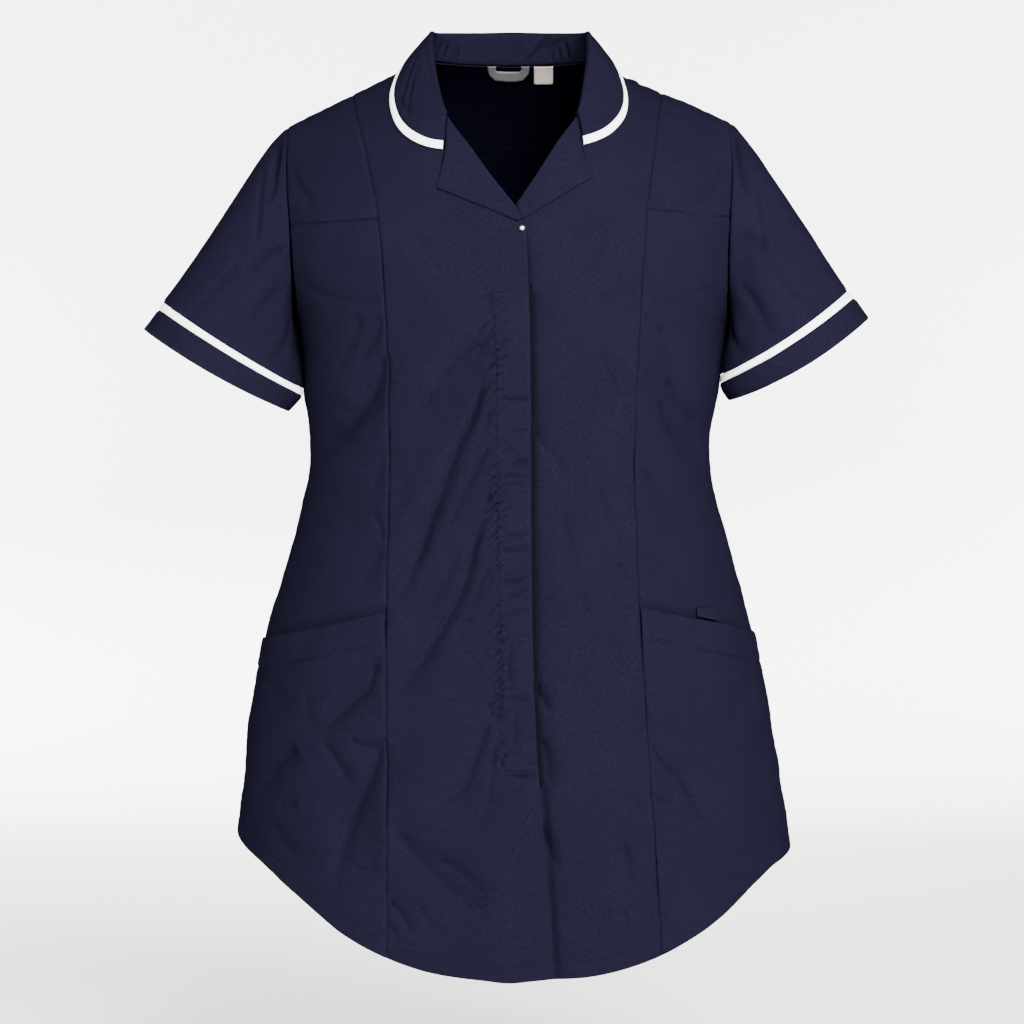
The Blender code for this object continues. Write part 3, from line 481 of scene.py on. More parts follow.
# A fold is a sharp valley through its spots, widening from a narrow start.
Fold = namedtuple("Fold", "width depth spots")
FRONT_FOLDS = (
    # fanned from the fly towards the wearer's right pocket
    Fold(3.4, 3.4, ((-15, -276), (-21, -285), (-29, -311), (-43, -343), (-55, -375), (-68, -405),
                    (-80, -440), (-92, -469), (-106, -484))),
    Fold(5.0, 1.9, ((-9, -248), (-25, -253), (-35, -259), (-53, -277), (-71, -306), (-82, -319),
                    (-96, -331))),
    Fold(2.8, 1.2, ((-15, -338), (-23, -351), (-36, -376), (-51, -410), (-60, -430))),
    Fold(4.0, 3.2, ((-12, -399), (-20, -405), (-28, -421), (-34, -446), (-43, -474), (-58, -501),
                    (-75, -528), (-101, -564))),
    Fold(1.8, 1.1, ((-15, -380), (-18, -391), (-24, -404))),
    Fold(2.2, 1.1, ((-11, -446), (-18, -450), (-26, -469), (-34, -484))),
    Fold(3.5, 0.8, ((-15, -522), (-22, -526), (-33, -531))),
    Fold(4.0, 0.9, ((-32, -488), (-38, -500), (-46, -514))),
    Fold(1.8, 1.0, ((-9, -553), (-13, -560), (-14, -571), (-9, -579))),
    Fold(3.4, 1.7, ((-13, -574), (-21, -592), (-28, -612), (-37, -637), (-53, -650), (-70, -657))),
    Fold(3.4, 1.0, ((-9, -596), (-13, -616), (-16, -640), (-18, -668))),
    Fold(2.6, 0.8, ((-14, -310), (-20, -324), (-29, -341))),
    Fold(3.0, 0.8, ((-42, -425), (-52, -452), (-66, -478))),
    # and from its edge towards the left
    Fold(4.0, 1.1, ((78, -256), (84, -268), (92, -286), (101, -306))),
    Fold(5.0, 1.5, ((19, -322), (26, -334), (37, -345), (46, -358), (54, -380))),
    Fold(5.5, 1.5, ((45, -386), (53, -414), (61, -447), (69, -475), (78, -503), (85, -530))),
    Fold(5.0, 0.8, ((60, -330), (70, -352), (82, -384), (90, -420))),
    Fold(5.0, 0.7, ((84, -500), (96, -520), (108, -538))),
    Fold(3.0, 1.0, ((94, -440), (101, -449), (110, -461))),
    Fold(3.2, 2.2, ((22, -545), (28, -556), (38, -572))),
    Fold(4.0, 2.2, ((28, -590), (33, -608), (35, -640))),
    Fold(3.4, 1.8, ((28, -664), (33, -680), (40, -698), (45, -712))),
    Fold(3.4, 1.3, ((100, -680), (105, -700), (107, -717), (114, -724), (123, -727))),
    Fold(3.4, 0.9, ((101, -738), (103, -752), (104, -768))),
    Fold(4.0, 0.7, ((86, -736), (82, -752), (74, -768))),
    # armpit to waist
    Fold(5.5, 3.6, ((-108, -254), (-111, -272), (-117, -289), (-126, -305), (-141, -322),
                    (-160, -337), (-174, -354))),
    Fold(4.2, 1.5, ((-111, -224), (-117, -244), (-126, -260), (-136, -273))),
    Fold(5.0, 1.5, ((-131, -222), (-138, -248), (-147, -266), (-158, -284))),
    Fold(6.0, 1.1, ((-108, -340), (-114, -366), (-124, -386))),
    Fold(3.4, 1.5, ((-118, -398), (-112, -412), (-108, -430))),
    Fold(4.0, 1.1, ((-108, -430), (-119, -446), (-134, -471))),
    Fold(4.4, 1.6, ((132, -232), (136, -246), (141, -266), (149, -284))),
    Fold(5.0, 2.2, ((138, -278), (148, -298), (159, -313), (170, -334))),
    Fold(3.4, 1.8, ((132, -294), (141, -320), (152, -337), (166, -357))),
    Fold(4.4, 1.3, ((116, -356), (128, -378), (139, -405))),
    Fold(4.0, 0.8, ((116, -224), (128, -233), (144, -241))),
    # under the right pocket
    Fold(2.6, 2.2, ((-110, -522), (-118, -539), (-122, -553), (-132, -562), (-151, -580),
                    (-164, -589), (-174, -595))),
    Fold(3.0, 0.7, ((-177, -550), (-176, -568), (-174, -582), (-170, -595))),
    Fold(7.0, 1.1, ((-216, -540), (-199, -564), (-188, -575))),
    Fold(3.4, 1.9, ((-162, -596), (-151, -612), (-143, -624), (-134, -640))),
    Fold(6.0, 4.2, ((-109, -592), (-114, -614), (-126, -643), (-134, -661), (-140, -677),
                    (-149, -710), (-155, -733))),
    Fold(3.2, 1.5, ((-138, -593), (-124, -600), (-108, -599))),
    Fold(9.0, 2.8, ((-182, -604), (-203, -618), (-215, -636), (-228, -662))),
    Fold(5.0, 1.3, ((-204, -654), (-192, -655), (-182, -654))),
    Fold(2.4, 0.8, ((-136, -704), (-122, -706), (-108, -704))),
    Fold(6.0, 1.3, ((-212, -668), (-196, -688), (-172, -714))),
    # under the left pocket
    Fold(4.4, 2.0, ((121, -590), (135, -616), (147, -628), (157, -643), (165, -659), (175, -673),
                    (188, -680))),
    Fold(3.4, 0.9, ((122, -638), (130, -645), (140, -651))),
    Fold(7.0, 1.2, ((212, -540), (200, -566), (186, -596))),
    Fold(8.0, 1.1, ((236, -600), (222, -630), (206, -668))),
    # above the hem
    Fold(6.5, 2.5, ((-107, -671), (-92, -679), (-82, -693), (-61, -710), (-49, -722), (-33, -734),
                    (-8, -744))),
    Fold(5.0, 1.7, ((-66, -696), (-43, -707), (-27, -722), (-10, -732))),
    Fold(2.6, 1.6, ((-105, -732), (-94, -742), (-86, -754), (-79, -766))),
    Fold(4.0, 1.1, ((-78, -735), (-65, -754), (-51, -766))),
    Fold(2.2, 0.9, ((-106, -750), (-97, -765), (-94, -778))),
)
BACK_CREASES = creases(
    (-186, -214, -96, -326, 9, 9, -2.2, 0.8),
    (-172, -262, -82, -352, 8, 7, -1.4, 0.5),
    (-150, -330, -60, -372, 6, 8, -1.6, 0.5),
    (188, -216, 92, -320, -9, 9, -2.2, -0.8),
    (172, -270, 88, -346, -7, 7, -1.3, -0.5),
    (152, -336, 54, -380, -6, 8, -1.6, -0.5),
    (-30, -330, 34, -352, 5, 9, -1.5, 0.4),
    (-22, -362, 46, -374, -4, 7, -1.1, 0.4),
    (-64, -128, -88, -230, 6, 12, -1.2, 0.4),
    (72, -124, 94, -238, -6, 12, -1.2, -0.4),
    (-8, -150, 2, -262, 4, 14, -0.9, 0),
    (-52, -392, -94, -596, -8, 11, -2.4, 0.9),
    (-6, -410, -18, -640, 6, 12, -2, 0.7),
    (38, -396, 76, -560, 8, 10, -2.1, -0.8),
    (96, -420, 136, -610, -6, 11, -2.2, -0.8),
    (-118, -430, -158, -590, 5, 11, -2.1, 0.8),
    (-70, -560, -60, -720, -7, 12, -1.7, 0.6),
    (44, -600, 30, -742, 6, 12, -1.7, -0.6),
    (160, -560, 186, -668, 5, 12, -1.6, -0.5),
    (-186, -560, -208, -660, -5, 12, -1.6, 0.5),
    (112, -640, 92, -738, -4, 10, -1.2, 0.4),
    (-120, -650, -104, -734, 4, 10, -1.2, -0.4),
)
# The same on a sleeve: shares down it and degrees round from the shoulder over the front.
RIGHT_SLEEVE_CREASES = creases(
    (14, 6, 62, 14, 3, 7, -2.2, 0.8),
    (26, 16, 78, 44, 5, 8, -1.1, 0.4),
    (104, 10, 74, 58, -6, 9, -1.8, -0.6),
    (122, 18, 96, 92, -4, 9, -1.6, -0.5),
    (58, 52, 44, 96, 4, 8, -0.9, 0.3),
    (146, 26, 128, 96, 4, 9, -1.4, 0.5),
    (-96, 10, -74, 58, 6, 9, -1.7, 0.6),
    (-118, 22, -98, 92, 4, 9, -1.5, 0.5),
    (-40, 14, -58, 60, -4, 8, -1.2, -0.4),
    (-20, 50, -34, 96, 4, 8, -0.8, 0.3),
)
LEFT_SLEEVE_CREASES = creases(
    (10, 6, 58, 12, 3, 7, -2, 0.7),
    (34, 22, 84, 52, 5, 8, -1.2, 0.4),
    (100, 8, 66, 50, -6, 9, -1.7, -0.6),
    (118, 24, 102, 94, -4, 9, -1.5, -0.5),
    (70, 58, 52, 96, 4, 8, -1, 0.3),
    (150, 20, 132, 96, 4, 9, -1.3, 0.5),
    (-92, 12, -70, 64, 6, 9, -1.6, 0.6),
    (-124, 20, -102, 94, 4, 9, -1.4, 0.5),
    (-34, 18, -54, 66, -4, 8, -1.1, -0.4),
)


VALLEY_ROUND = 0.9      # how softly a fold's bottom is rounded
FOLD_SPREAD = 1.3       # a fold's width and depth on the cloth, for 1 mm in its table
FOLD_SINK = 1.7
FADE_IN = 0.16          # the shares of a fold's run over which it begins and ends
FADE_OUT = 0.34
SEEN_SHIFT = 1.0        # the tables follow a fold's dark wall, this far right of its bottom
CREASE_SPREAD = 0.62    # a crease's width and depth on the cloth, for 1 mm in its table
CREASE_SINK = 2.1


def crease_lift(x, z, table, wide=CREASE_SPREAD, deep=CREASE_SINK):
    """How far the creases move the cloth out or in at places given across and up.

    A crease widens from its first end to its last, and its lip stands 1.9 widths off to one side.
    """
    total = np.zeros_like(x)
    for crease in table:
        run_x, run_z = crease.to_x - crease.from_x, crease.to_z - crease.from_z
        length = math.hypot(run_x, run_z)
        here_x, here_z = x - crease.from_x, z - crease.from_z
        share = (here_x * run_x + here_z * run_z) / length**2
        arch = np.clip(4 * share * (1 - share), 0, None)
        off = (here_x * run_z - here_z * run_x) / length - crease.bend * arch
        width = wide * crease.width * (0.72 + 0.5 * np.clip(share, 0, 1))
        depth = deep * crease.lift * (abs(crease.lift) / 2.0) ** 0.4
        trough = depth * np.exp(-(off / width) ** 2)
        side = math.copysign(1.0, crease.lip)
        lip = abs(crease.lip) * np.exp(-((off + side * 1.9 * width) / (1.2 * width)) ** 2)
        total += arch**0.7 * (trough + lip)
    return total


def fold_lift(x, z, folds):
    """How far the folds sink the cloth at places given across and up."""
    total = np.zeros_like(x)
    for fold in folds:
        spots = np.array(fold.spots, float)
        knots = np.concatenate([[0], np.linalg.norm(np.diff(spots, axis=0), axis=1).cumsum()])
        line = curve_weights(knots, np.linspace(0, knots[-1], 6 * len(spots))) @ spots
        line[:, 0] -= SEEN_SHIFT
        low, high = line.min(0) - 6 * fold.width, line.max(0) + 6 * fold.width
        near = np.flatnonzero((x > low[0]) & (x < high[0]) & (z > low[1]) & (z < high[1]))
        if not near.size:
            continue
        here = np.stack([x[near], z[near]], axis=1)[:, None] - line[:-1]
        run = np.diff(line, axis=0)
        share = np.clip((here * run).sum(2) / (run**2).sum(1), 0, 1)
        gap = np.linalg.norm(here - share[:, :, None] * run, axis=2)
        best = gap.argmin(1)[:, None]
        far = np.take_along_axis(gap, best, 1)[:, 0]
        along = (best + np.take_along_axis(share, best, 1))[:, 0] / len(run)
        width = FOLD_SPREAD * fold.width * (0.65 + 0.6 * along)
        valley = np.exp(-((np.hypot(far, VALLEY_ROUND) - VALLEY_ROUND) / width) ** 1.2)
        begins, ends = smooth_step(along / FADE_IN), smooth_step((1 - along) / FADE_OUT)
        total[near] -= FOLD_SINK * fold.depth * valley * begins * ends
    return total


def stretched(table, across, up):
    """A table of creases in shares, turned into millimetres."""
    return [crease._replace(from_x=crease.from_x * across, to_x=crease.to_x * across,
                            from_z=crease.from_z * up, to_z=crease.to_z * up) for crease in table]


# ---------------------------------------------------------------- a cloth piece
# How a border is finished: a seam that another piece meets, a folded edge, or a turned hem. The
# band is the depth of the cloth turned under, and the pitch that of its puckers.
Border = namedtuple("Border", "kind band pitch")
SEAM = Border("seam", 9.0, 13.0)
EDGE = Border("edge", 0.0, 22.0)
HEM = Border("hem", 15.5, 17.0)
MOUTH = Border("hem", 29.0, 26.0)
FLY = Border("edge", 0.0, 15.0)
PLAIN = Border("plain", 0.0, 20.0)
STRIP = Border("edge", 0.0, 30.0)
SEAM_REACH = 0.5        # a shell reaches this far past a seam's border, to close its gap


def border_lift(border, far, along, key):
    """Relief near one border: rounded at the edge, thicker over the turned cloth, puckered."""
    if border.kind == "plain":
        return np.zeros_like(far)
    deep, wide = (1.0, 1.15) if border.kind == "seam" else (0.65, 0.75)
    lift = -deep * np.exp(-(np.clip(far, 0, None) / wide) ** 2)
    near = np.exp(-np.abs(far - border.band * 0.5) / 9.0)
    puckers = ripple(along, key, border.pitch) * near
    if border.kind == "hem":
        lift = lift + 0.35 * (1 - smooth_step((far - border.band + 0.6) / 1.6))
        lift = lift - 0.04 * border.band * np.exp(-((far - border.band + 1.6) / 1.2) ** 2)
        return lift + 0.38 * puckers
    if border.kind == "seam":
        return lift + 0.16 * (1 - smooth_step((far - border.band) / 2.0)) + 0.26 * puckers
    return lift + 0.2 * puckers


class Cloth:
    """A CAD sheet drawn smooth. Places on it are read by their shares down and across it."""

    def __init__(self, node, borders=(SEAM, SEAM, SEAM, SEAM), relief=None, key=1.0, breaks=(),
                 corners=(), **reading):
        self.node = node
        self.borders = borders          # top, foot, start and end of the rows
        self.relief = relief
        self.key = key
        self.breaks = breaks            # columns where the piece has a corner, and such rows
        self.corners = corners
        self.ring = reading.get("ring", False)
        self.rows = read_sheet(node, **reading)
        rows = self.rows
        if self.ring:
            rows = np.concatenate([rows, rows[:, :1]], axis=1)
        steps_down = np.linalg.norm(np.diff(rows, axis=0), axis=2)
        steps_across = np.linalg.norm(np.diff(rows, axis=1), axis=2)
        self.lengths = steps_down.sum(0)
        self.widths = steps_across.sum(1)
        self.length = self.lengths.mean()
        self.width = self.widths.mean()
        self.down_knots = np.concatenate([[0], steps_down.mean(1).cumsum()]) / self.length
        self.across_knots = np.concatenate([[0], steps_across.mean(0).cumsum()]) / self.width

    def width_at(self, down):
        """The cloth's width in millimetres at shares down it."""
        return np.interp(down, self.down_knots, self.widths)

    def length_at(self, across):
        """The cloth's length in millimetres at shares across it."""
        return np.interp(across, self.across_knots, self.lengths)

    def base(self, down, across):
        """Places on the smooth form, before any relief."""
        high = curve_weights(self.down_knots, down, breaks=self.corners)
        wide = curve_weights(self.across_knots, across, self.ring, self.breaks)
        return np.einsum("nr,rcx,nc->nx", high, self.rows, wide, optimize=True)

    def out(self, down, across):
        """The way out at places on the smooth form."""
        step = 0.4
        high, wide = step / self.length, step / self.width
        along = self.base(down + high, across) - self.base(down - high, across)
        over = self.base(down, across + wide) - self.base(down, across - wide)
        normal = np.cross(along, over)
        return normal / np.linalg.norm(normal, axis=1)[:, None]

    def lift(self, down, across, place):
        """How far the borders and the relief move places out from the smooth form."""
        top, foot, start, end = self.borders
        length, width = self.length_at(across), self.width_at(down)
        level = place[:, 2]
        level_across = place[:, 0] if not self.ring else across * self.width
        lift = border_lift(top, down * length, level_across, self.key + 1)
        lift = lift + border_lift(foot, (1 - down) * length, level_across, self.key + 2)
        if not self.ring:
            lift = lift + border_lift(start, across * width, level, self.key + 3)
            lift = lift + border_lift(end, (1 - across) * width, level, self.key + 4)
        if self.relief:
            lift = lift + self.relief(self, down, across, place)
        return lift

    def place(self, down, across, over=0.0):
        """Places on the finished cloth, moved out by over."""
        down, across = np.broadcast_arrays(np.asarray(down, float), np.asarray(across, float))
        shape = down.shape
        down, across = down.ravel(), across.ravel()
        place = self.base(down, across)
        out = self.out(down, across)
        moved = place + out * (self.lift(down, across, place) + over)[:, None]
        return moved.reshape(*shape, 3), out.reshape(*shape, 3)


EDGE_ROWS = (0.5, 1.1, 2.0)     # extra rows beside every border, in from it
HEM_ROWS = (-3.0, -2.2, -1.4, -0.6, 0.2, 1.0)   # and about the step where a hem's turning ends
LEAST_CELL = 0.34       # no two rows or columns lie nearer than this


def stops(length, cell, start, end, fine, ring=False):
    """Shares along a length: evenly spaced, closer at its borders and over a fine band.

    The band is a first and last distance in millimetres, from the end if negative, and its cell.
    """
    if ring:
        return np.linspace(0, 1, max(8, round(length / cell)) + 1)[:-1]
    low = -SEAM_REACH if start.kind == "seam" else 0.0
    high = length + (SEAM_REACH if end.kind == "seam" else 0.0)
    count = max(1, round(length / cell))
    found = [k * length / count for k in range(1, count)]
    for far in EDGE_ROWS:
        found += [far, length - far]
    for border, side in ((start, 0), (end, 1)):
        if border.kind == "hem":
            for far in HEM_ROWS:
                far += border.band
                found.append(length - far if side else far)
    first, last, close = fine
    first, last = (far + length if far < 0 else far for far in (first, last))
    found = [far for far in found if not first < far < last]
    found += list(np.arange(first, last, close))
    found = sorted(far for far in found if low + 0.2 < far < high - 0.2)
    kept = [low]
    for far in found:
        if far - kept[-1] > LEAST_CELL:
            kept.append(far)
    return np.array(kept + [high]) / length


# Bands of closer rows and columns for the zip's puckers and the edge over it: from, to and cell.
NO_BAND = (0, 0, 1)
FINE = {
    "right_centre_front": ((200.0, 700.0, 1.3), (-48.0, -2.2, 1.25)),
    "left_centre_front": (NO_BAND, (2.2, 60.0, 1.6)),
}


HOLLOW_REACH = 2.3      # how far off the cloth around a hollow is measured
WEAR_REACH = 1.6        # how far in from a border its rubbing fades


def hollows_of(lifts, down, across):
    """How far each place lies below the cloth a little way off on its four sides."""
    around = np.zeros_like(lifts)
    for step in (-HOLLOW_REACH, HOLLOW_REACH):
        around += np.stack([np.interp(down + step, down, line) for line in lifts.T], axis=1)
        around += np.stack([np.interp(across + step, across, line) for line in lifts])
    return around / 4 - lifts


def shell(name, cloth, cell, wall):
    """The cloth's mesh: its outer side, thickened inwards, with its worn edges and the depth of its
    hollows, which the twill darkens as painted shade.
    """
    cell = cell / MM
    top, foot, start, end = cloth.borders
    fine_down, fine_across = FINE.get(cloth.node, (NO_BAND, NO_BAND))
    down = stops(cloth.length, cell, top, foot, fine_down)
    down = np.union1d(down, cloth.down_knots[list(cloth.corners)])
    across = stops(cloth.width, cell, start, end, fine_across, cloth.ring)
    grid_down, grid_across = np.meshgrid(down, across, indexing="ij")
    places, out = cloth.place(grid_down, grid_across)
    high, wide = grid_down.shape
    form = cloth.base(grid_down.ravel(), grid_across.ravel()).reshape(places.shape)
    hollows = hollows_of(((places - form) * out).sum(2), down * cloth.length, across * cloth.width)
    mesh = grid_mesh(name, places.reshape(-1, 3), high, wide, cloth.ring)
    flat_u = grid_across * cloth.width
    flat_v = -grid_down * cloth.length
    flat = np.stack([flat_u, flat_v], axis=2).reshape(-1, 2)
    write_uv(mesh, flat, wide, cloth)
    far = np.minimum(grid_down * cloth.length, (1 - grid_down) * cloth.length)
    if not cloth.ring:
        far = np.minimum(far, np.minimum(grid_across, 1 - grid_across) * cloth.width)
    wear = mesh.attributes.new("wear", "FLOAT", "POINT")
    wear.data.foreach_set("value", np.exp(-np.clip(far, 0, None).ravel() / WEAR_REACH))
    # How deep each place lies below the cloth around it, which the twill turns into painted shade.
    painted_shade_depth = mesh.attributes.new("painted_shade_depth", "FLOAT", "POINT")
    painted_shade_depth.data.foreach_set("value", hollows.ravel())
    obj = bpy.data.objects.new(name, mesh)
    bpy.context.scene.collection.objects.link(obj)
    thickness = obj.modifiers.new("cloth", "SOLIDIFY")
    thickness.thickness = wall
    thickness.offset = -1.0
    thickness.use_even_offset = False
    return obj


def grid_mesh(name, places, high, wide, ring):
    """A mesh of quads over rows of places, its faces pointing out."""
    index = np.arange(high * wide).reshape(high, wide)
    if ring:
        index = np.concatenate([index, index[:, :1]], axis=1)
    a, b, c, d = index[:-1, :-1], index[1:, :-1], index[1:, 1:], index[:-1, 1:]
    quads = np.stack([a, b, c, d], axis=2).reshape(-1, 4)
    mesh = bpy.data.meshes.new(name)
    mesh.from_pydata((places * MM).tolist(), [], quads.tolist())
    mesh.shade_smooth()
    return mesh


def write_uv(mesh, flat, wide, cloth):
    """The cloth's own threads as a UV map in millimetres: across, then down."""
    corners = np.zeros(len(mesh.loops), int)
    mesh.loops.foreach_get("vertex_index", corners)
    found = flat[corners].reshape(-1, 4, 2)
    if cloth.ring:
        column = corners.reshape(-1, 4) % wide
        wraps = (column.max(1) - column.min(1)) > wide / 2
        low = (column < wide / 2) & wraps[:, None]
        found[low, 0] += cloth.width
    layer = mesh.uv_layers.new(name="threads")
    layer.data.foreach_set("uv", found.ravel())


# ---------------------------------------------------------------- relief of single pieces
Spot = namedtuple("Spot", "x z")
# The line of stitching that holds the zip behind the right front, a long J.
FLY_STITCH = (
    Spot(-4.5, -209.0), Spot(-15.8, -209.6), Spot(-15.8, -212.0), Spot(-12.9, -267.0),
    Spot(-12.1, -346.0), Spot(-10.8, -440.0), Spot(-8.6, -507.0), Spot(-7.3, -566.0),
    Spot(-6.0, -611.0), Spot(-3.9, -621.5), Spot(-2.0, -623.0), Spot(24.0, -623.4),
)
FLY_LINE = FLY_STITCH[2:10]
# The short row of stitches that tacks the left chest seam down.
CHEST_TACK = (Spot(153.0, -134.9), Spot(186.0, -138.4))
# Small creases where the zip draws the right front's edge in.
FLY_CREASES = creases(
    (-9, -226, -2, -219, 0.5, 1.5, -0.5, 0.3),
    (-11, -243, -1, -233, -1, 1.6, -0.6, 0.4),
    (-11, -257, 0, -247, -1, 1.7, -0.6, 0.4),
    (-10, -268, -2, -262, -0.6, 1.5, -0.5, 0.3),
    (-9, -280, 4, -276, 1, 1.8, -0.5, 0.3),
    (-9, -298.6, 18, -299.6, 0.8, 2, -1.1, 0.7),
    (-2, -327, 17, -326, 1, 1.8, -0.6, 0.4),
    (-8, -345, 3, -341, 1.2, 1.7, -0.6, 0.4),
    (0, -355, 18, -356.4, -1.4, 2.1, -1, 0.6),
    (-9, -366.8, 16, -368, -0.8, 1.8, -0.9, 0.5),
    (-8, -373, 17, -372, 0.8, 1.6, -0.6, 0.4),
    (-7, -396, 6, -392, 1, 1.8, -0.4, 0.3),
    (-6, -419, 18, -414.6, 1.4, 1.9, -0.9, 0.6),
    (-8, -430.6, 17, -428.4, 1.2, 2, -0.9, 0.6),
    (-7, -441, 8, -437, 0.8, 1.6, -0.5, 0.3),
    (-7, -458.6, 19, -453, 1.6, 2, -0.9, 0.6),
    (-4, -473, 19, -460, 1.6, 1.9, -0.8, 0.6),
    (-6, -486, 17, -484, -1.2, 2.2, -0.8, 0.5),
    (0, -503, 18, -505, 1, 1.8, -0.5, 0.3),
    (2, -508, 1, -556, 1.5, 1.8, -0.8, -0.5),
    (-6, -530, 1, -522, -0.8, 1.6, -0.5, 0.3),
    (-6, -541, 2, -535, -0.8, 1.6, -0.5, 0.3),
    (-5, -560.4, 21, -559.4, -1, 2.3, -1, 0.6),
    (-5, -582.6, 6, -582, 0.6, 1.7, -0.6, 0.4),
    (4, -566, 5, -612, -1, 1.8, -0.7, -0.5),
    (-2, -624.5, 25, -624.5, 0.8, 2.4, -1.4, 0.5),
    (-2, -638, 12, -634, 1, 2, -0.5, 0.3),
    # and ripples where the stitching pulls on the front beside it
    (-15, -232, -28, -244, 1, 1.8, -0.5, 0.3),
    (-14, -250, -32, -266, 1.4, 2, -0.6, 0.4),
    (-13, -283, -27, -300, 1.4, 2, -0.6, 0.4),
    (-13, -310, -24, -326, 1.2, 2, -0.6, 0.4),
    (-12.5, -333, -22, -352, 1.2, 2, -0.5, 0.4),
    (-12, -372, -21, -392, 1.2, 2, -0.6, 0.4),
    (-11, -412, -21, -430, 1.4, 2, -0.6, 0.4),
    (-10, -448, -22, -470, 1.6, 2.2, -0.7, 0.4),
    (-9.5, -476, -20, -496, 1.4, 2, -0.5, 0.4),
    (-9, -520, -28, -523, 1, 2.2, -0.5, 0.3),
    (-8, -556, -14, -588, -1.6, 2, -0.7, 0.4),
    (-7, -596, -16, -618, 1.6, 2.2, -0.6, 0.4),
)
FLY_THICK = 0.5         # the zip's tape and facing under the cloth
FLY_TOP, FLY_FOOT = -206.0, -624.0      # the heights between which its stitching runs
FLY_SPREAD = 1.3        # the width and depth of the fly's small creases, for 1 mm in their table
FLY_SINK = 2.3
GROOVE = 0.9            # how deep the fly's stitching pulls the cloth in
# The puckers beside the fly's stitching, over the zip and on the panel: how high they stand, how
# they slant, a key for their unevenness, their pitch and how far they reach.
Pucker = namedtuple("Pucker", "height slant key pitch reach")
OVER_ZIP = Pucker(3.0, 0.3, 2.3, 7.0, 4.6)
ON_PANEL = Pucker(2.3, 0.9, 5.1, 8.0, 5.5)
# The right front's edge, where it laps over the left.
FLY_EDGE = (
    Spot(14.0, -153.0), Spot(16.0, -207.0), Spot(18.0, -267.0), Spot(19.0, -327.0), Spot(18.0, -346.0),
    Spot(18.9, -440.0), Spot(20.0, -487.0), Spot(20.8, -546.0), Spot(22.8, -595.0), Spot(25.1, -625.0),
    Spot(31.7, -697.5), Spot(38.8, -802.0),
)


def line_at(line, z):
    """Where a line down the front stands at each height."""
    return np.interp(-z, [-spot.z for spot in line], [spot.x for spot in line])


POCKET_DIP = 4.0        # how far the side fronts sink behind the pockets' mouths
POCKET_MOUTHS = (
    Spot(-219.6, -511.0), Spot(-175.0, -499.7), Spot(-139.0, -492.0), Spot(-107.6, -485.0),
    Spot(113.0, -481.0), Spot(164.6, -492.5), Spot(217.8, -506.0),
)


def pocket_dip(x, z):
    """The side fronts sink behind the pockets' mouths."""
    mouth = np.interp(x, [spot.x for spot in POCKET_MOUTHS], [spot.z for spot in POCKET_MOUTHS])
    above = z - mouth
    near = smooth_step((np.abs(x) - 104.0) / 6.0) * smooth_step((216.0 - np.abs(x)) / 24.0)
    return -POCKET_DIP * near * np.exp(-(np.clip(above, 0, None) / 9.0) ** 2)


def front_relief(cloth, down, across, place):
    """What all the front pieces share, so that a fold runs on over a seam."""
    x, z = place[:, 0], place[:, 2]
    return (crease_lift(x, z, FRONT_CREASES) + fold_lift(x, z, FRONT_FOLDS)
            + unrest(x, z, cloth.key))


SEAM_ROLL = 1.4         # how far the right side front rolls up beside its long seam


def side_front_relief(cloth, down, across, place):
    """The side fronts sink behind the pockets, and the right one rolls up at its seam."""
    x, z = place[:, 0], place[:, 2]
    past_seam = np.clip(-x - 106.0, 0, None)
    rolled = SEAM_ROLL * np.exp(-past_seam / 9.0) * smooth_step((past_seam - 0.3) / 1.5) * (x < 0)
    return front_relief(cloth, down, across, place) + pocket_dip(x, z) + rolled


UNDER_FLY_DIP = 2.8     # how far the left front sinks where the right one laps over it
FLY_GAP = 3.6           # how much of the zip tape shows beside the edge


def under_fly_relief(cloth, down, across, place):
    """The left front sinks beside the edge that laps over it."""
    x, z = place[:, 0], place[:, 2]
    past = np.clip(x - line_at(FLY_EDGE, z), 0, None)
    held = smooth_step((-150.0 - z) / 30.0)
    past = np.clip(past - FLY_GAP * smooth_step((-205.0 - z) / 4.0), 0, None)
    dip = UNDER_FLY_DIP * np.exp(-past / 2.4) + 1.3 * np.exp(-(past / 9.0) ** 2)
    return front_relief(cloth, down, across, place) - held * dip


def puckers(kind, off, z):
    """Ripples that run off a line of stitching and fade, off being the distance from it."""
    along = ripple(z - kind.slant * off, kind.key, kind.pitch)
    return kind.height * along * np.exp(-np.abs(off) / kind.reach)


def fly_relief(cloth, down, across, place):
    """The right front stands over the zip, and its stitching draws it into puckers."""
    x, z = place[:, 0], place[:, 2]
    off = x - line_at(FLY_LINE, z)
    held = smooth_step((FLY_TOP - z) / 4.0) * smooth_step((z - FLY_FOOT) / 3.0)
    stand = FLY_THICK * smooth_step((off + 0.5) / 2.2)
    groove = -GROOVE * np.exp(-(off / 1.1) ** 2)
    pull = 0.6 + 0.4 * np.sin(z / 31.0 + 1.0) * np.sin(z / 13.0)
    drawn = pull * np.where(off > 0, puckers(OVER_ZIP, off, z), puckers(ON_PANEL, off, z))
    held_in = smooth_step((np.abs(off) + 0.3) / 1.4)
    creased = crease_lift(x, z, FLY_CREASES, FLY_SPREAD, FLY_SINK)
    return (front_relief(cloth, down, across, place) + creased
            + held * (stand + groove + held_in * drawn))


def back_relief(cloth, down, across, place):
    """The creases and unevenness of the back and its yoke."""
    x, z = place[:, 0], place[:, 2]
    return crease_lift(x, z, BACK_CREASES) + unrest(x, z, cloth.key)


# The body's side as it is seen beside a sleeve, whose front rolls back there. Behind the arm a
# sleeve bulges, by the share of its bulge that BULGE_GROWS gives at each share down it.
BODY_SIDE = (Spot(190.5, -150.0), Spot(188.5, -190.0), Spot(183.0, -280.0))
SLEEVE_ROLL = 5.0
SLEEVE_BULGE = 5.5
BULGE_DOWN = (0.05, 0.2, 0.45, 0.6)
BULGE_GROWS = (0.0, 0.45, 0.6, 1.0)


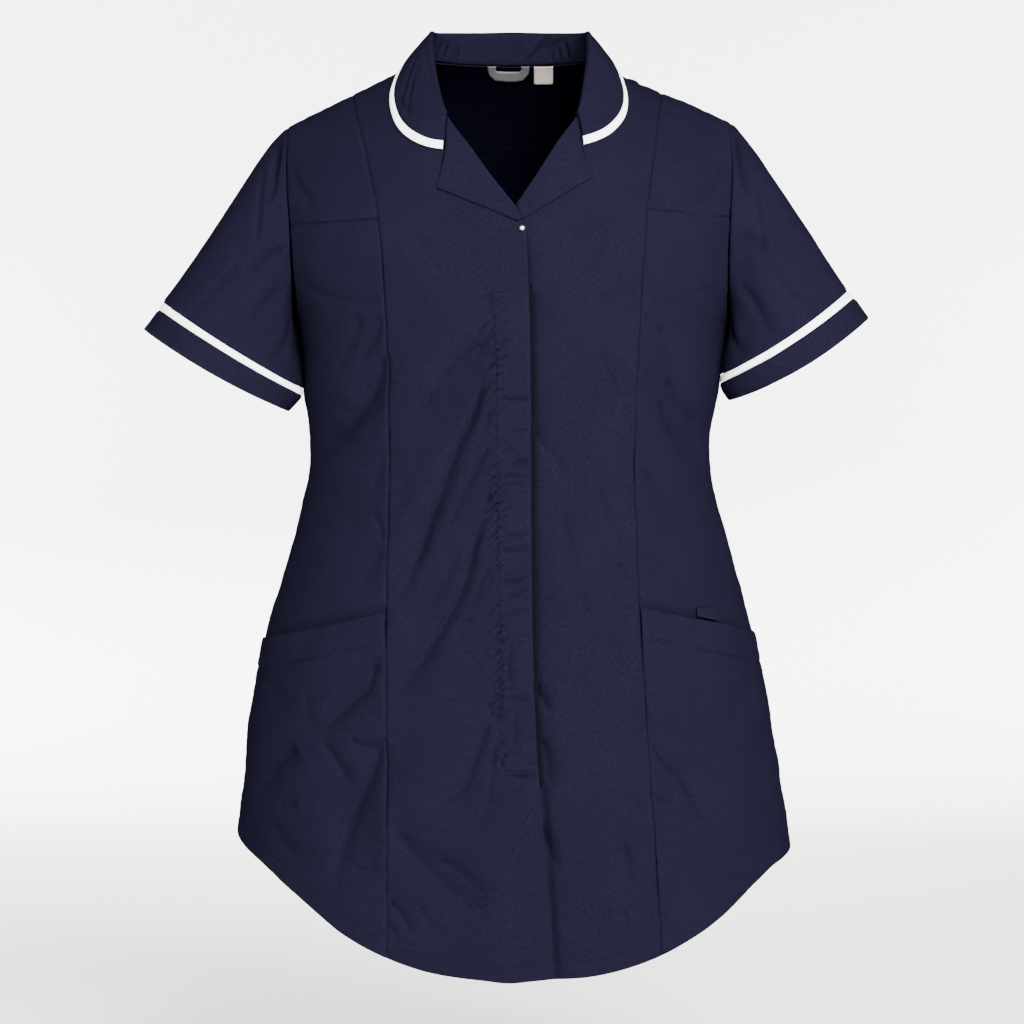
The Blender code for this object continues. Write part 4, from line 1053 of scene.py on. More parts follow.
def sleeve_relief(cloth, down, across, place):
    """A sleeve's creases, and its form beside the body."""
    right = cloth.rows[0, 0, 0] < 0
    turn = np.where(across > 0.5, across - 1, across) * 360.0 * (1 if right else -1)
    table = RIGHT_SLEEVE_CREASES if right else LEFT_SLEEVE_CREASES
    table = stretched(table, cloth.width / 360.0, cloth.length / 100.0)
    folds = crease_lift(turn * cloth.width / 360.0, down * cloth.length, table)
    x, z = place[:, 0], place[:, 2]
    past = np.clip(np.abs(x) - line_at(BODY_SIDE, z), 0, None)
    in_front = smooth_step((-10.0 - place[:, 1]) / 8.0)
    rolled = np.exp(-(past / 6.5) ** 1.4) * smooth_step((-150.0 - z) / 20.0)
    behind = np.minimum(np.abs(turn + 160.0), 360.0 - np.abs(turn + 160.0))
    under = np.exp(-(behind / 48.0) ** 2) * np.interp(down, BULGE_DOWN, BULGE_GROWS)
    return (folds + 0.7 * unrest(x, z, cloth.key) - SLEEVE_ROLL * rolled * in_front
            + SLEEVE_BULGE * under)


# Creases of the collar: shares (in hundredths) round it from the wearer's left, and from the
# neck seam over the fold to the outer edge.
COLLAR_CREASES = creases(
    (36, 2, 36.5, 20, 0.6, 3, -1.4, 0.4),
    (38.2, 2, 38.6, 16, 0.4, 2.6, -1.2, 0.3),
    (40.2, 2, 40, 14, 0.4, 2.6, -1, 0.3),
    (47, 2, 40, 27, -0.6, 3.4, -1.4, 0.4),
    (43, 12, 35.5, 28, -0.6, 3.2, -1.2, 0.3),
    (61.5, 2, 61, 15, 0.4, 2.8, -1, 0.3),
    (64.4, 2, 64, 19, 0.4, 3, -1.3, 0.4),
    (66.8, 2, 66, 23, -0.6, 3, -1.4, 0.5),
    (71, 2, 71.2, 15, 0.4, 2.6, -1.3, 0.4),
    (72.5, 2, 72.2, 18, 0.4, 2.6, -1.3, 0.4),
    (74, 2, 73.4, 20, 0.4, 2.6, -1.2, 0.4),
    (24, 52, 16, 92, 1, 5.2, -0.8, 0),
    (80, 54, 87, 92, -1, 5.2, -1, 0),
    (84, 56, 91, 92, -1, 4.2, -1, 0.3),
    (84, 94, 92, 86, 0.6, 3.6, -0.9, 0.3),
)


def collar_relief(cloth, down, across, place):
    """The gathers of the collar's stand and the creases of its fall."""
    table = stretched(COLLAR_CREASES, cloth.width / 100.0, cloth.length / 100.0)
    fine = crease_lift(across * cloth.width, down * cloth.length, table)
    return fine + 0.25 * unrest(place[:, 0] * 1.4, place[:, 2] * 1.4, cloth.key)


TAPE_DIP = 2.2          # how far the zip's tape lies behind its CAD sheet


def tape_relief(cloth, down, across, place):
    """The tape lies flat, a little back."""
    return np.full_like(down, -TAPE_DIP)


def lapel_relief(cloth, down, across, place):
    """A lapel is pressed nearly flat."""
    return 0.3 * unrest(place[:, 0] * 1.6, place[:, 2] * 1.6, cloth.key)


def sleeve_band_relief(cloth, down, across, place):
    """A cuff band is stiffer than the sleeve, so it is only a little uneven."""
    return 0.5 * unrest(place[:, 0], place[:, 2], cloth.key)


# ---------------------------------------------------------------- the pieces
FRONT = (0, -1, 0)
BACK = (0, 1, 0)
RIGHT_DOWN = (-0.5, 0, -0.85)
LEFT_DOWN = (0.5, 0, -0.85)
YOKE_NECK = (6, 18)     # the yoke's columns where the shoulder seams meet the neckline


def make_cloths():
    """Every cloth piece of the garment, by name."""
    return {cloth.node: cloth for cloth in (
        Cloth("right_centre_front", (SEAM, HEM, SEAM, FLY), fly_relief, 1.0, facing=FRONT),
        Cloth("left_centre_front", (SEAM, HEM, FLY, SEAM), under_fly_relief, 2.0, facing=FRONT),
        Cloth("right_upper_side_front", relief=front_relief, key=3.0, facing=FRONT),
        Cloth("left_upper_side_front", relief=front_relief, key=4.0, facing=FRONT),
        Cloth("right_side_front", (SEAM, HEM, SEAM, SEAM), side_front_relief, 5.0, facing=FRONT),
        Cloth("left_side_front", (SEAM, HEM, SEAM, SEAM), side_front_relief, 6.0, facing=FRONT),
        Cloth("right_pocket_front", (MOUTH, HEM, SEAM, SEAM), front_relief, 5.0, facing=FRONT),
        Cloth("left_pocket_front", (MOUTH, HEM, SEAM, SEAM), front_relief, 6.0, facing=FRONT),
        Cloth("left_inner_pocket", (EDGE, PLAIN, EDGE, EDGE), facing=FRONT),
        Cloth("back_yoke", relief=back_relief, key=7.0, breaks=YOKE_NECK, facing=BACK),
        Cloth("back", (SEAM, HEM, SEAM, SEAM), back_relief, 8.0, facing=BACK),
        Cloth("right_sleeve", relief=sleeve_relief, key=9.0, down=RIGHT_DOWN, ring=True),
        Cloth("left_sleeve", relief=sleeve_relief, key=10.0, down=LEFT_DOWN, ring=True),
        Cloth("right_sleeve_trim", (STRIP, STRIP, PLAIN, PLAIN), down=RIGHT_DOWN, ring=True),
        Cloth("left_sleeve_trim", (STRIP, STRIP, PLAIN, PLAIN), down=LEFT_DOWN, ring=True),
        Cloth("right_cuff", (SEAM, EDGE, PLAIN, PLAIN), sleeve_band_relief, 11.0, down=RIGHT_DOWN,
              ring=True),
        Cloth("left_cuff", (SEAM, EDGE, PLAIN, PLAIN), sleeve_band_relief, 12.0, down=LEFT_DOWN,
              ring=True),
        Cloth("collar", (SEAM, SEAM, EDGE, EDGE), collar_relief, 13.0),
        Cloth("collar_trim", (STRIP, STRIP, EDGE, EDGE), key=14.0),
        Cloth("right_lapel", (EDGE, EDGE, EDGE, PLAIN), lapel_relief, 15.0, down=(0.6, 0, -0.8),
              facing=FRONT),
        Cloth("left_lapel", (EDGE, EDGE, PLAIN, EDGE), lapel_relief, 16.0, down=(-0.6, 0, -0.8),
              facing=FRONT),
        Cloth("zip_tape", (PLAIN, PLAIN, PLAIN, PLAIN), tape_relief, facing=FRONT),
        Cloth("hanger_loop", (PLAIN, PLAIN, EDGE, EDGE), corners=tuple(range(1, 7)), down=(1, 0, 0),
              facing=FRONT),
        Cloth("size_label", (PLAIN, EDGE, EDGE, EDGE), facing=FRONT),
    )}


CLOTHS = {}


def cloth_of(name):
    """A cloth piece by its name. All are read from the frame the first time one is asked for."""
    if not CLOTHS:
        CLOTHS.update(make_cloths())
    return CLOTHS[name]


LEAST_FLAT = 0.01       # the least width in metres taken for a sheet's flat size


def declare(obj, cloth):
    """The piece rides on the tunic and replaces its CAD sheet. Its flat width, length and area are
    worked out, but nothing uses them.
    """
    rows = cloth.rows * MM
    if cloth.ring:
        rows = np.concatenate([rows, rows[:, :1]], axis=1)
    one = np.cross(rows[1:, :-1] - rows[:-1, :-1], rows[:-1, 1:] - rows[:-1, :-1])
    two = np.cross(rows[1:, :-1] - rows[1:, 1:], rows[:-1, 1:] - rows[1:, 1:])
    area = (np.linalg.norm(one, axis=2).sum() + np.linalg.norm(two, axis=2).sum()) / 2
    width = max(LEAST_FLAT, cloth.widths.max() * MM)
    length = max(LEAST_FLAT, cloth.lengths.max() * MM)
    area = float(min(area, width * length))
    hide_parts(cloth.node)
    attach(obj, "root")
    return obj


# ---------------------------------------------------------------- materials
def add(tree, kind, settings=(), links=()):
    """A shader node with its settings, by socket or attribute, and what its sockets are fed by."""
    node = tree.nodes.new(kind)
    for key, value in dict(settings).items():
        if isinstance(key, int) or key in node.inputs:
            node.inputs[key].default_value = value
        else:
            setattr(node, key, value)
    for key, source in dict(links).items():
        tree.links.new(source, node.inputs[key])
    return node


def surface(name, colour, settings):
    """A new material with its Principled BSDF set, and its node tree and shader."""
    material = bpy.data.materials.new(name)
    material.use_nodes = True
    tree = material.node_tree
    shader = tree.nodes["Principled BSDF"]
    shader.inputs["Base Color"].default_value = (*colour, 1.0)
    for key, value in settings.items():
        shader.inputs[key].default_value = value
    return material, tree, shader


def once(build):
    """Make a material the first time it is asked for."""
    def get():
        return bpy.data.materials.get(build.__name__) or build()
    return get


def bands(period):
    """The Wave texture's scale for bands that repeat after a period in the map's own units."""
    return 2 * math.pi / (20 * period)


TWILL_TURN = -63.0      # a 2/1 twill's ribs climb steeply, 63 degrees from the weft
# The uneven warp and weft threads, as millimetres across the cloth and down it. The real ones are
# too fine to show, so these are drawn at 0.8 mm.
STREAKS = ((0.8, 3.2), (2.8, 0.8))
DYE_PATCH = 55.0        # millimetres over which the dye takes a little more or less


def woven(name, colour, rough, rib, depth, mottle, streak, gloss=0.0, sheen=0.0, deep=0.0):
    """A twill: raised diagonal ribs, threads uneven in shade, edges rubbed a little lighter.

    Rib is the ribs' pitch and depth their height, in millimetres. Mottle and streak are how much
    the dye and the threads vary. Deep is painted shade: where the cloth lies in a hollow, as at
    the bottom of a crease or along a seam, its colour is darkened by up to deep.
    """
    material, tree, shader = surface(name, colour, {
        "Roughness": rough, "Specular IOR Level": gloss, "Sheen Weight": sheen,
        "Sheen Roughness": 0.45, "Sheen Tint": (0.62, 0.68, 1.0, 1.0)})
    threads = add(tree, "ShaderNodeUVMap", {"uv_map": "threads"}).outputs["UV"]
    turned = add(tree, "ShaderNodeMapping", {"Rotation": (0, 0, math.radians(TWILL_TURN))},
                 {"Vector": threads}).outputs["Vector"]
    ribs = add(tree, "ShaderNodeTexWave", {
        "wave_type": "BANDS", "bands_direction": "X", "wave_profile": "SIN",
        "Scale": bands(rib), "Distortion": 1.2, "Detail": 2.0, "Detail Scale": 1.4},
        {"Vector": turned}).outputs["Fac"]
    streaks = []
    for thick, run in STREAKS:
        laid = add(tree, "ShaderNodeMapping", {"Scale": (1 / thick, 1 / run, 1.0)},
                   {"Vector": threads}).outputs["Vector"]
        streaks.append(add(tree, "ShaderNodeTexNoise", {"Scale": 1.0, "Detail": 2.0},
                           {"Vector": laid}).outputs["Fac"])
    both = add(tree, "ShaderNodeMath", {"operation": "MULTIPLY"},
               dict(enumerate(streaks))).outputs[0]
    slow = add(tree, "ShaderNodeTexNoise", {"Scale": 1 / DYE_PATCH, "Detail": 3.0},
               {"Vector": threads}).outputs["Fac"]
    shade = add(tree, "ShaderNodeMapRange", {"From Min": 0.12, "From Max": 0.40,
                                             "To Min": 1 - streak, "To Max": 1 + streak},
                {"Value": both}).outputs["Result"]
    cast = add(tree, "ShaderNodeMapRange", {"From Min": 0.3, "From Max": 0.7,
                                            "To Min": 1 - mottle, "To Max": 1 + mottle},
               {"Value": slow}).outputs["Result"]
    rubbed = add(tree, "ShaderNodeAttribute", {"attribute_name": "wear"}).outputs["Fac"]
    lighter = add(tree, "ShaderNodeMapRange", {"To Min": 1.0, "To Max": 1.04},
                  {"Value": rubbed}).outputs["Result"]
    # Painted shade: the colour darkens where the cloth lies in a hollow, as in a crease or seam.
    painted_shade_depth = add(tree, "ShaderNodeAttribute", {"attribute_name": "painted_shade_depth"}).outputs["Fac"]
    painted_crease_shade = add(tree, "ShaderNodeMapRange", {"From Max": 0.9, "To Min": 1.0, "To Max": 1.0 - deep},
                 {"Value": painted_shade_depth}).outputs["Result"]
    product = shade
    for tone in (cast, lighter, painted_crease_shade):
        product = add(tree, "ShaderNodeMath", {"operation": "MULTIPLY"},
                      {0: product, 1: tone}).outputs[0]
    dyed = add(tree, "ShaderNodeVectorMath", {"operation": "SCALE", 0: colour},
               {"Scale": product}).outputs["Vector"]
    tree.links.new(dyed, shader.inputs["Base Color"])
    height = add(tree, "ShaderNodeMath", {"operation": "MULTIPLY_ADD", 1: 0.5},
                 {0: ribs, 2: both}).outputs[0]
    bump = add(tree, "ShaderNodeBump", {"Strength": 0.55, "Distance": depth * MM},
               {"Height": height}).outputs["Normal"]
    tree.links.new(bump, shader.inputs["Normal"])
    return material


@once
def polycotton_twill():
    """Piece-dyed polyester and cotton twill: matt, with painted shade darkening its creases.

    The real ribs stand 0.45 mm apart, finer than the render shows, so they are drawn at 1.1 mm.
    """
    return woven("polycotton_twill", colours().navy, rough=0.8, rib=1.1, depth=0.3,
                 mottle=0.05, streak=0.33, deep=0.45)


@once
def inside_twill_painted_dark():
    """The same cloth on the inner side of every navy shell: duller, its colour painted nearly black as
    painted shade.
    """
    return woven("inside_twill_painted_dark", linear("#030309"), rough=0.85, rib=1.1, depth=0.2,
                 mottle=0.05, streak=0.5)


@once
def trim_twill():
    """Bleached twill of the trims, folded and pressed: smoother and a little brighter."""
    return woven("trim_twill", colours().white, rough=0.7, rib=0.9, depth=0.05,
                 mottle=0.02, streak=0.03, gloss=0.25, sheen=0.05)


@once
def tape_painted_dark():
    """Polyester zip tape: a dense flat weave, duller than the cloth. Its dark colour is partly the
    tape's own and partly painted shade for the gap beside the right front's edge.
    """
    return woven("tape_painted_dark", colours().tape, rough=0.85, rib=0.8, depth=0.06,
                 mottle=0.02, streak=0.1)


@once
def satin_ribbon():
    """Woven satin ribbon of the hanger loop: its long loose threads give it a soft gloss."""
    return woven("satin_ribbon", colours().ribbon, rough=0.42, rib=0.5, depth=0.03,
                 mottle=0.03, streak=0.05, gloss=0.4)


@once
def label_satin():
    """Woven satin of the size label, plain: slightly creamy and glossy."""
    return woven("label_satin", colours().label, rough=0.5, rib=0.5, depth=0.02,
                 mottle=0.02, streak=0.03, gloss=0.3)


@once
def spun_thread():
    """Spun polyester sewing thread, twisted tight: it catches more light than the cloth, but its navy
    is painted darker than the cloth's as the shade of the dimples that stitches make.
    """
    material, tree, shader = surface("spun_thread", colours().navy_thread, {
        "Roughness": 0.6, "Specular IOR Level": 0.08})
    place = add(tree, "ShaderNodeTexCoord").outputs["Object"]
    speckle = add(tree, "ShaderNodeTexNoise", {"Scale": 1 / (1.6 * MM), "Detail": 1.0},
                  {"Vector": place}).outputs["Fac"]
    shade = add(tree, "ShaderNodeMapRange", {"To Min": 0.75, "To Max": 1.3},
                {"Value": speckle}).outputs["Result"]
    dyed = add(tree, "ShaderNodeVectorMath", {"operation": "SCALE", 0: colours().navy_thread},
               {"Scale": shade}).outputs["Vector"]
    tree.links.new(dyed, shader.inputs["Base Color"])
    return material


@once
def thread_painted_lit():
    """The same thread on the fly and the chest tack, in a lighter colour: painted light for where it
    lies loose over the cloth and catches more light.
    """
    return surface("thread_painted_lit", linear("#10112a"), {
        "Roughness": 0.5, "Specular IOR Level": 0.2})[0]


@once
def stud_enamel():
    """Enamelled cap of the press stud: hard, white and glossy."""
    return surface("stud_enamel", linear("#e9ecf2"), {
        "Roughness": 0.22, "Coat Weight": 0.4, "Coat Roughness": 0.08})[0]


@once
def stud_brass():
    """Blackened brass ring of the press stud, stamped: dark, with a worn satin shine."""
    material, tree, shader = surface("stud_brass", linear("#15161c"), {
        "Roughness": 0.35, "Metallic": 0.9})
    place = add(tree, "ShaderNodeTexCoord").outputs["Object"]
    wear = add(tree, "ShaderNodeTexNoise", {"Scale": 1 / (1.2 * MM), "Detail": 2.0},
               {"Vector": place}).outputs["Fac"]
    rough = add(tree, "ShaderNodeMapRange", {"To Min": 0.22, "To Max": 0.5},
                {"Value": wear}).outputs["Result"]
    tree.links.new(rough, shader.inputs["Roughness"])
    return material


@once
def zip_coil():
    """Moulded polyester coil of the zip: smooth, dark, with small highlights."""
    return surface("zip_coil", linear("#171a2e"), {
        "Roughness": 0.35, "Specular IOR Level": 0.5})[0]


@once
def matt_floor():
    """Matt white studio floor, painted: it takes a soft shadow and shows no texture."""
    white = linear("#f4f4f4")
    material, tree, shader = surface("matt_floor", white, {"Roughness": 0.9})
    place = add(tree, "ShaderNodeTexCoord").outputs["Object"]
    grain = add(tree, "ShaderNodeTexNoise", {"Scale": 3.0, "Detail": 2.0}, {"Vector": place})
    tone = add(tree, "ShaderNodeMapRange", {"To Min": 0.985, "To Max": 1.0},
               {"Value": grain.outputs["Fac"]}).outputs["Result"]
    paint = add(tree, "ShaderNodeVectorMath", {"operation": "SCALE", 0: white},
                {"Scale": tone}).outputs["Vector"]
    tree.links.new(paint, shader.inputs["Base Color"])
    return material


# ---------------------------------------------------------------- stitches
def template(build, turn=(0.0, 0.0, 0.0), size=(1.0, 1.0, 1.0)):
    """A primitive turned and stretched, then taken out of the scene: its vertices and faces."""
    build()
    obj = bpy.context.object
    obj.rotation_euler = turn
    obj.scale = size
    bpy.ops.object.transform_apply(location=False, rotation=True, scale=True)
    verts = np.array([tuple(vertex.co) for vertex in obj.data.vertices])
    faces = [tuple(polygon.vertices) for polygon in obj.data.polygons]
    mesh = obj.data
    bpy.data.objects.remove(obj)
    bpy.data.meshes.remove(mesh)
    return verts, faces


def stitch_template():
    """One stitch: a short length of thread that dips into the cloth at both ends."""
    verts, faces = template(
        lambda: bpy.ops.mesh.primitive_uv_sphere_add(segments=5, ring_count=4, radius=1.0),
        turn=(0.0, math.pi / 2, 0.0))
    verts[:, 2] -= 0.9 * np.abs(verts[:, 0]) ** 3
    return verts, faces


def copies(name, shape, centres, along, out, half, material):
    """Copies of a small shape joined in one mesh: half is its half length, width and height."""
    verts, faces = shape
    along = along / np.linalg.norm(along, axis=1)[:, None]
    side = np.cross(out, along)
    side = side / np.linalg.norm(side, axis=1)[:, None]
    up = np.cross(along, side)
    local = verts * np.array(half)
    places = (centres[:, None] + local[None, :, :1] * along[:, None]
              + local[None, :, 1:2] * side[:, None]
              + local[None, :, 2:] * up[:, None]).reshape(-1, 3)
    joined = []
    for k in range(len(centres)):
        shift = k * len(verts)
        joined += [tuple(i + shift for i in face) for face in faces]
    mesh = bpy.data.meshes.new(name)
    mesh.from_pydata((places * MM).tolist(), [], joined)
    mesh.materials.append(material)
    mesh.shade_smooth()
    obj = bpy.data.objects.new(name, mesh)
    bpy.context.scene.collection.objects.link(obj)
    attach(obj, "root")
    return obj


def even_places(cloth, down, across, pitch, over):
    """Evenly spaced places along a path on a cloth, with the way the path runs and the way out."""
    down, across = np.broadcast_arrays(np.asarray(down, float), np.asarray(across, float))
    places, _ = cloth.place(down, across)
    far = np.concatenate([[0], np.linalg.norm(np.diff(places, axis=0), axis=1).cumsum()])
    count = max(1, round(far[-1] / pitch))
    at = (np.arange(count) + 0.5) * far[-1] / count
    ends = [np.clip(at + step, 0, far[-1]) for step in (-0.3 * pitch, 0.3 * pitch)]
    before, after = (cloth.place(np.interp(e, far, down), np.interp(e, far, across))[0] for e in ends)
    centres, out = cloth.place(np.interp(at, far, down), np.interp(at, far, across), over)
    return centres, after - before, out


def sew(name, lines, pitch=None, over=0.05, material=None, full=0.33):
    """Lines of stitches on one or more cloths, joined: each line is a cloth and its path's shares.

    A stitch fills twice the share full of its pitch.
    """
    pitch = pitch or sizes().stitch / MM
    width = sizes().thread / MM
    found = [even_places(cloth, down, across, pitch, over) for cloth, down, across in lines]
    centres, along, out = (np.concatenate([piece[k] for piece in found]) for k in range(3))
    half = (full * pitch, 0.5 * width, 0.42 * width)
    return copies(name, stitch_template(), centres, along, out, half, material or spun_thread())


RUN = np.linspace(0.0, 1.0, 160)    # shares along a line of stitches


def parallel(cloth, border, far, start=0.0, end=1.0):
    """A line on the cloth that keeps its distance in millimetres from one of its borders."""
    along = start + (end - start) * RUN
    if border in ("top", "foot"):
        share = far / cloth.length_at(along)
        return cloth, (share if border == "top" else 1 - share), along
    share = far / cloth.width_at(along)
    return cloth, along, (share if border == "start" else 1 - share)


def find(cloth, x, z):
    """The shares of the places on a front cloth that the photograph sees at x and z."""
    x, z = np.asarray(x, float), np.asarray(z, float)
    down, across = np.full(x.shape, 0.5), np.full(x.shape, 0.5)
    step = 0.004
    for _ in range(14):
        here = cloth.base(down, across)
        by_down = (cloth.base(down + step, across) - here) / step
        by_across = (cloth.base(down, across + step) - here) / step
        miss_x, miss_z = x - here[:, 0], z - here[:, 2]
        size = by_down[:, 0] * by_across[:, 2] - by_across[:, 0] * by_down[:, 2]
        down = down + (miss_x * by_across[:, 2] - by_across[:, 0] * miss_z) / size
        across = across + (by_down[:, 0] * miss_z - miss_x * by_down[:, 2]) / size
        down, across = np.clip(down, 0, 1), np.clip(across, 0, 1)
    return down, across


def traced(cloth, spots, count=240):
    """A line on the cloth through spots given in x and z."""
    far = np.concatenate([[0], np.cumsum([math.dist(a, b) for a, b in zip(spots, spots[1:])])])
    at = np.linspace(0, far[-1], count)
    down, across = find(cloth, np.interp(at, far, [s.x for s in spots]),
                        np.interp(at, far, [s.z for s in spots]))
    return cloth, down, across


# ---------------------------------------------------------------- operators
def start_piece():
    """A step of the build begins in object mode with nothing selected."""
    if bpy.context.object and bpy.context.object.mode != "OBJECT":
        bpy.ops.object.mode_set(mode="OBJECT")
    bpy.ops.object.select_all(action="DESELECT")


def make_shell(name, node, cell, wall, slot, material):
    """A cloth piece from its CAD sheet. The navy cloth's inner side takes a nearly black copy of the
    twill, painted shade.
    """
    cloth = cloth_of(node)
    obj = shell(name, cloth, cell, wall)
    obj.data.materials.append(material)
    if slot == "navy":
        # Painted shade: the shell's inner side gets the nearly black copy of the twill.
        obj.data.materials.append(inside_twill_painted_dark())
        obj.modifiers["cloth"].material_offset = 1
    return declare(obj, cloth)


class FrontPanels(bpy.types.Operator):
    """Make the tunic's eight front panels and the small inner pocket"""

    bl_idname = "tunic.front_panels"
    bl_label = "Front panels"

    def execute(self, context):
        start_piece()
        panels = [side + "_" + part for side in SIDES
                  for part in ("centre_front", "upper_side_front", "side_front", "pocket_front")]
        for node in panels + ["left_inner_pocket"]:
            make_shell(node + "_cloth", node, sizes().front_cell, sizes().wall, "navy",
                       polycotton_twill())
        return {"FINISHED"}


class BackPanels(bpy.types.Operator):
    """Make the back and its yoke"""

    bl_idname = "tunic.back_panels"
    bl_label = "Back panels"

    def execute(self, context):
        start_piece()
        for node in ("back_yoke", "back"):
            make_shell(node + "_cloth", node, sizes().back_cell, sizes().wall, "navy",
                       polycotton_twill())
        return {"FINISHED"}


class Sleeves(bpy.types.Operator):
    """Make the sleeves with their white trims and cuff bands"""

    bl_idname = "tunic.sleeves"
    bl_label = "Sleeves"

    def execute(self, context):
        start_piece()
        for side in SIDES:
            make_shell(side + "_sleeve_cloth", side + "_sleeve", sizes().sleeve_cell, sizes().wall,
                       "navy", polycotton_twill())
            make_shell(side + "_cuff_cloth", side + "_cuff", sizes().sleeve_cell, sizes().wall,
                       "navy", polycotton_twill())
            make_shell(side + "_sleeve_trim_cloth", side + "_sleeve_trim", sizes().sleeve_cell,
                       sizes().trim_wall, "white", trim_twill())
        return {"FINISHED"}


class Collar(bpy.types.Operator):
    """Make the folded collar with its white trim, and the two lapels"""

    bl_idname = "tunic.collar"
    bl_label = "Collar and lapels"

    def execute(self, context):
        start_piece()
        make_shell("collar_cloth", "collar", sizes().sleeve_cell * 0.7, sizes().wall, "navy",
                   polycotton_twill())
        make_shell("collar_trim_cloth", "collar_trim", sizes().sleeve_cell, sizes().trim_wall,
                   "white", trim_twill())
        for side in SIDES:
            make_shell(side + "_lapel_cloth", side + "_lapel", sizes().sleeve_cell * 0.7,
                       sizes().wall, "navy", polycotton_twill())
        return {"FINISHED"}


# The stud's cap, then its ring from the cap outwards, as radius and height over the seat.
Ring = namedtuple("Ring", "radius height")
CAP = (Ring(0.0, 1.9), Ring(0.7, 1.85), Ring(1.2, 1.68), Ring(1.55, 1.32), Ring(1.65, 0.8))
COLLET = (
    Ring(1.6, 0.8), Ring(1.95, 1.15), Ring(2.4, 1.25), Ring(3.0, 1.2), Ring(3.25, 0.75),
    Ring(3.25, 0.3), Ring(3.0, 0.05), Ring(1.0, 0.05),
)


def flat_axis(node):
    """The middle of a flat round CAD piece, and the way its top faces."""
    places = np.array([tuple(v.co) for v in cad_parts[node].data.vertices]) / MM
    places = np.unique(places.round(4), axis=0)
    middle = places.mean(0)
    axis = np.linalg.svd(places - middle)[2][2]
    axis = axis if axis[1] < 0 else -axis
    return middle, axis, ((places - middle) @ axis).min()


TURN_STEPS = 48


def turned(name, profile, middle, axis, seat, material):
    """A profile turned round the stud's axis."""
    mesh = bpy.data.meshes.new(name)
    mesh.from_pydata([(ring.radius * MM, 0, ring.height * MM) for ring in profile], [
        (i, i + 1) for i in range(len(profile) - 1)], [])
    obj = bpy.data.objects.new(name, mesh)
    bpy.context.scene.collection.objects.link(obj)
    screw = obj.modifiers.new("turned", "SCREW")
    screw.steps = screw.render_steps = TURN_STEPS
    screw.use_merge_vertices = True
    screw.merge_threshold = 0.00001
    bpy.ops.object.select_all(action="DESELECT")
    obj.select_set(True)
    bpy.context.view_layer.objects.active = obj
    bpy.ops.object.modifier_apply(modifier="turned")
    obj.rotation_mode = "QUATERNION"
    obj.rotation_quaternion = Vector(axis).to_track_quat("Z", "X")
    obj.location = Vector(middle + axis * seat) * MM
    bpy.ops.object.transform_apply(location=True, rotation=True, scale=True)
    bpy.ops.object.mode_set(mode="EDIT")
    bpy.ops.mesh.select_all(action="SELECT")
    bpy.ops.mesh.normals_make_consistent(inside=False)
    bpy.ops.object.mode_set(mode="OBJECT")
    bpy.ops.object.shade_smooth()
    obj.data.materials.append(material)
    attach(obj, "root")
    return obj


COIL_PITCH = 1.4                # one tooth of a number 3 coil
COIL_TOOTH = (1.6, 0.5, 0.5)    # its half length, width and height


class Fastening(bpy.types.Operator):
    """Make the zip's tape and coil and the press stud"""

    bl_idname = "tunic.fastening"
    bl_label = "Zip and stud"

    def execute(self, context):
        start_piece()
        make_shell("zip_tape_cloth", "zip_tape", sizes().front_cell, sizes().tape_wall, "tape",
                   tape_painted_dark())
        tape = cloth_of("zip_tape")
        centres, along, out = even_places(tape, RUN, 0.18, COIL_PITCH, 0.35)
        coil = copies("zip_coil_teeth", stitch_template(), centres, np.cross(out, along), out,
                      COIL_TOOTH, zip_coil())
        middle, axis, seat = flat_axis("press_stud")
        cap = turned("stud_cap", CAP, middle, axis, seat, stud_enamel())
        collet = turned("stud_ring", COLLET, middle, axis, seat, stud_brass())
        for piece in (cap, collet):
            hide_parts("press_stud")
        return {"FINISHED"}


class LoopAndLabel(bpy.types.Operator):
    """Make the ribbon hanger loop and the plain size label inside the collar"""

    bl_idname = "tunic.loop_and_label"
    bl_label = "Loop and label"

    def execute(self, context):
        start_piece()
        make_shell("hanger_loop_ribbon", "hanger_loop", 1.2 * MM, sizes().tape_wall, "ribbon",
                   satin_ribbon())
        make_shell("size_label_cloth", "size_label", 1.2 * MM, sizes().tape_wall, "label",
                   label_satin())
        return {"FINISHED"}


# How far the lines of stitches lie from the border that they follow.
EDGE_SEW = 1.6
HEM_SEW = HEM.band - EDGE_SEW
MOUTH_SEW = MOUTH.band - EDGE_SEW
NECK_SEW = 1.2
YOKE_SEW = 1.8
LAP_SEW = 2.0


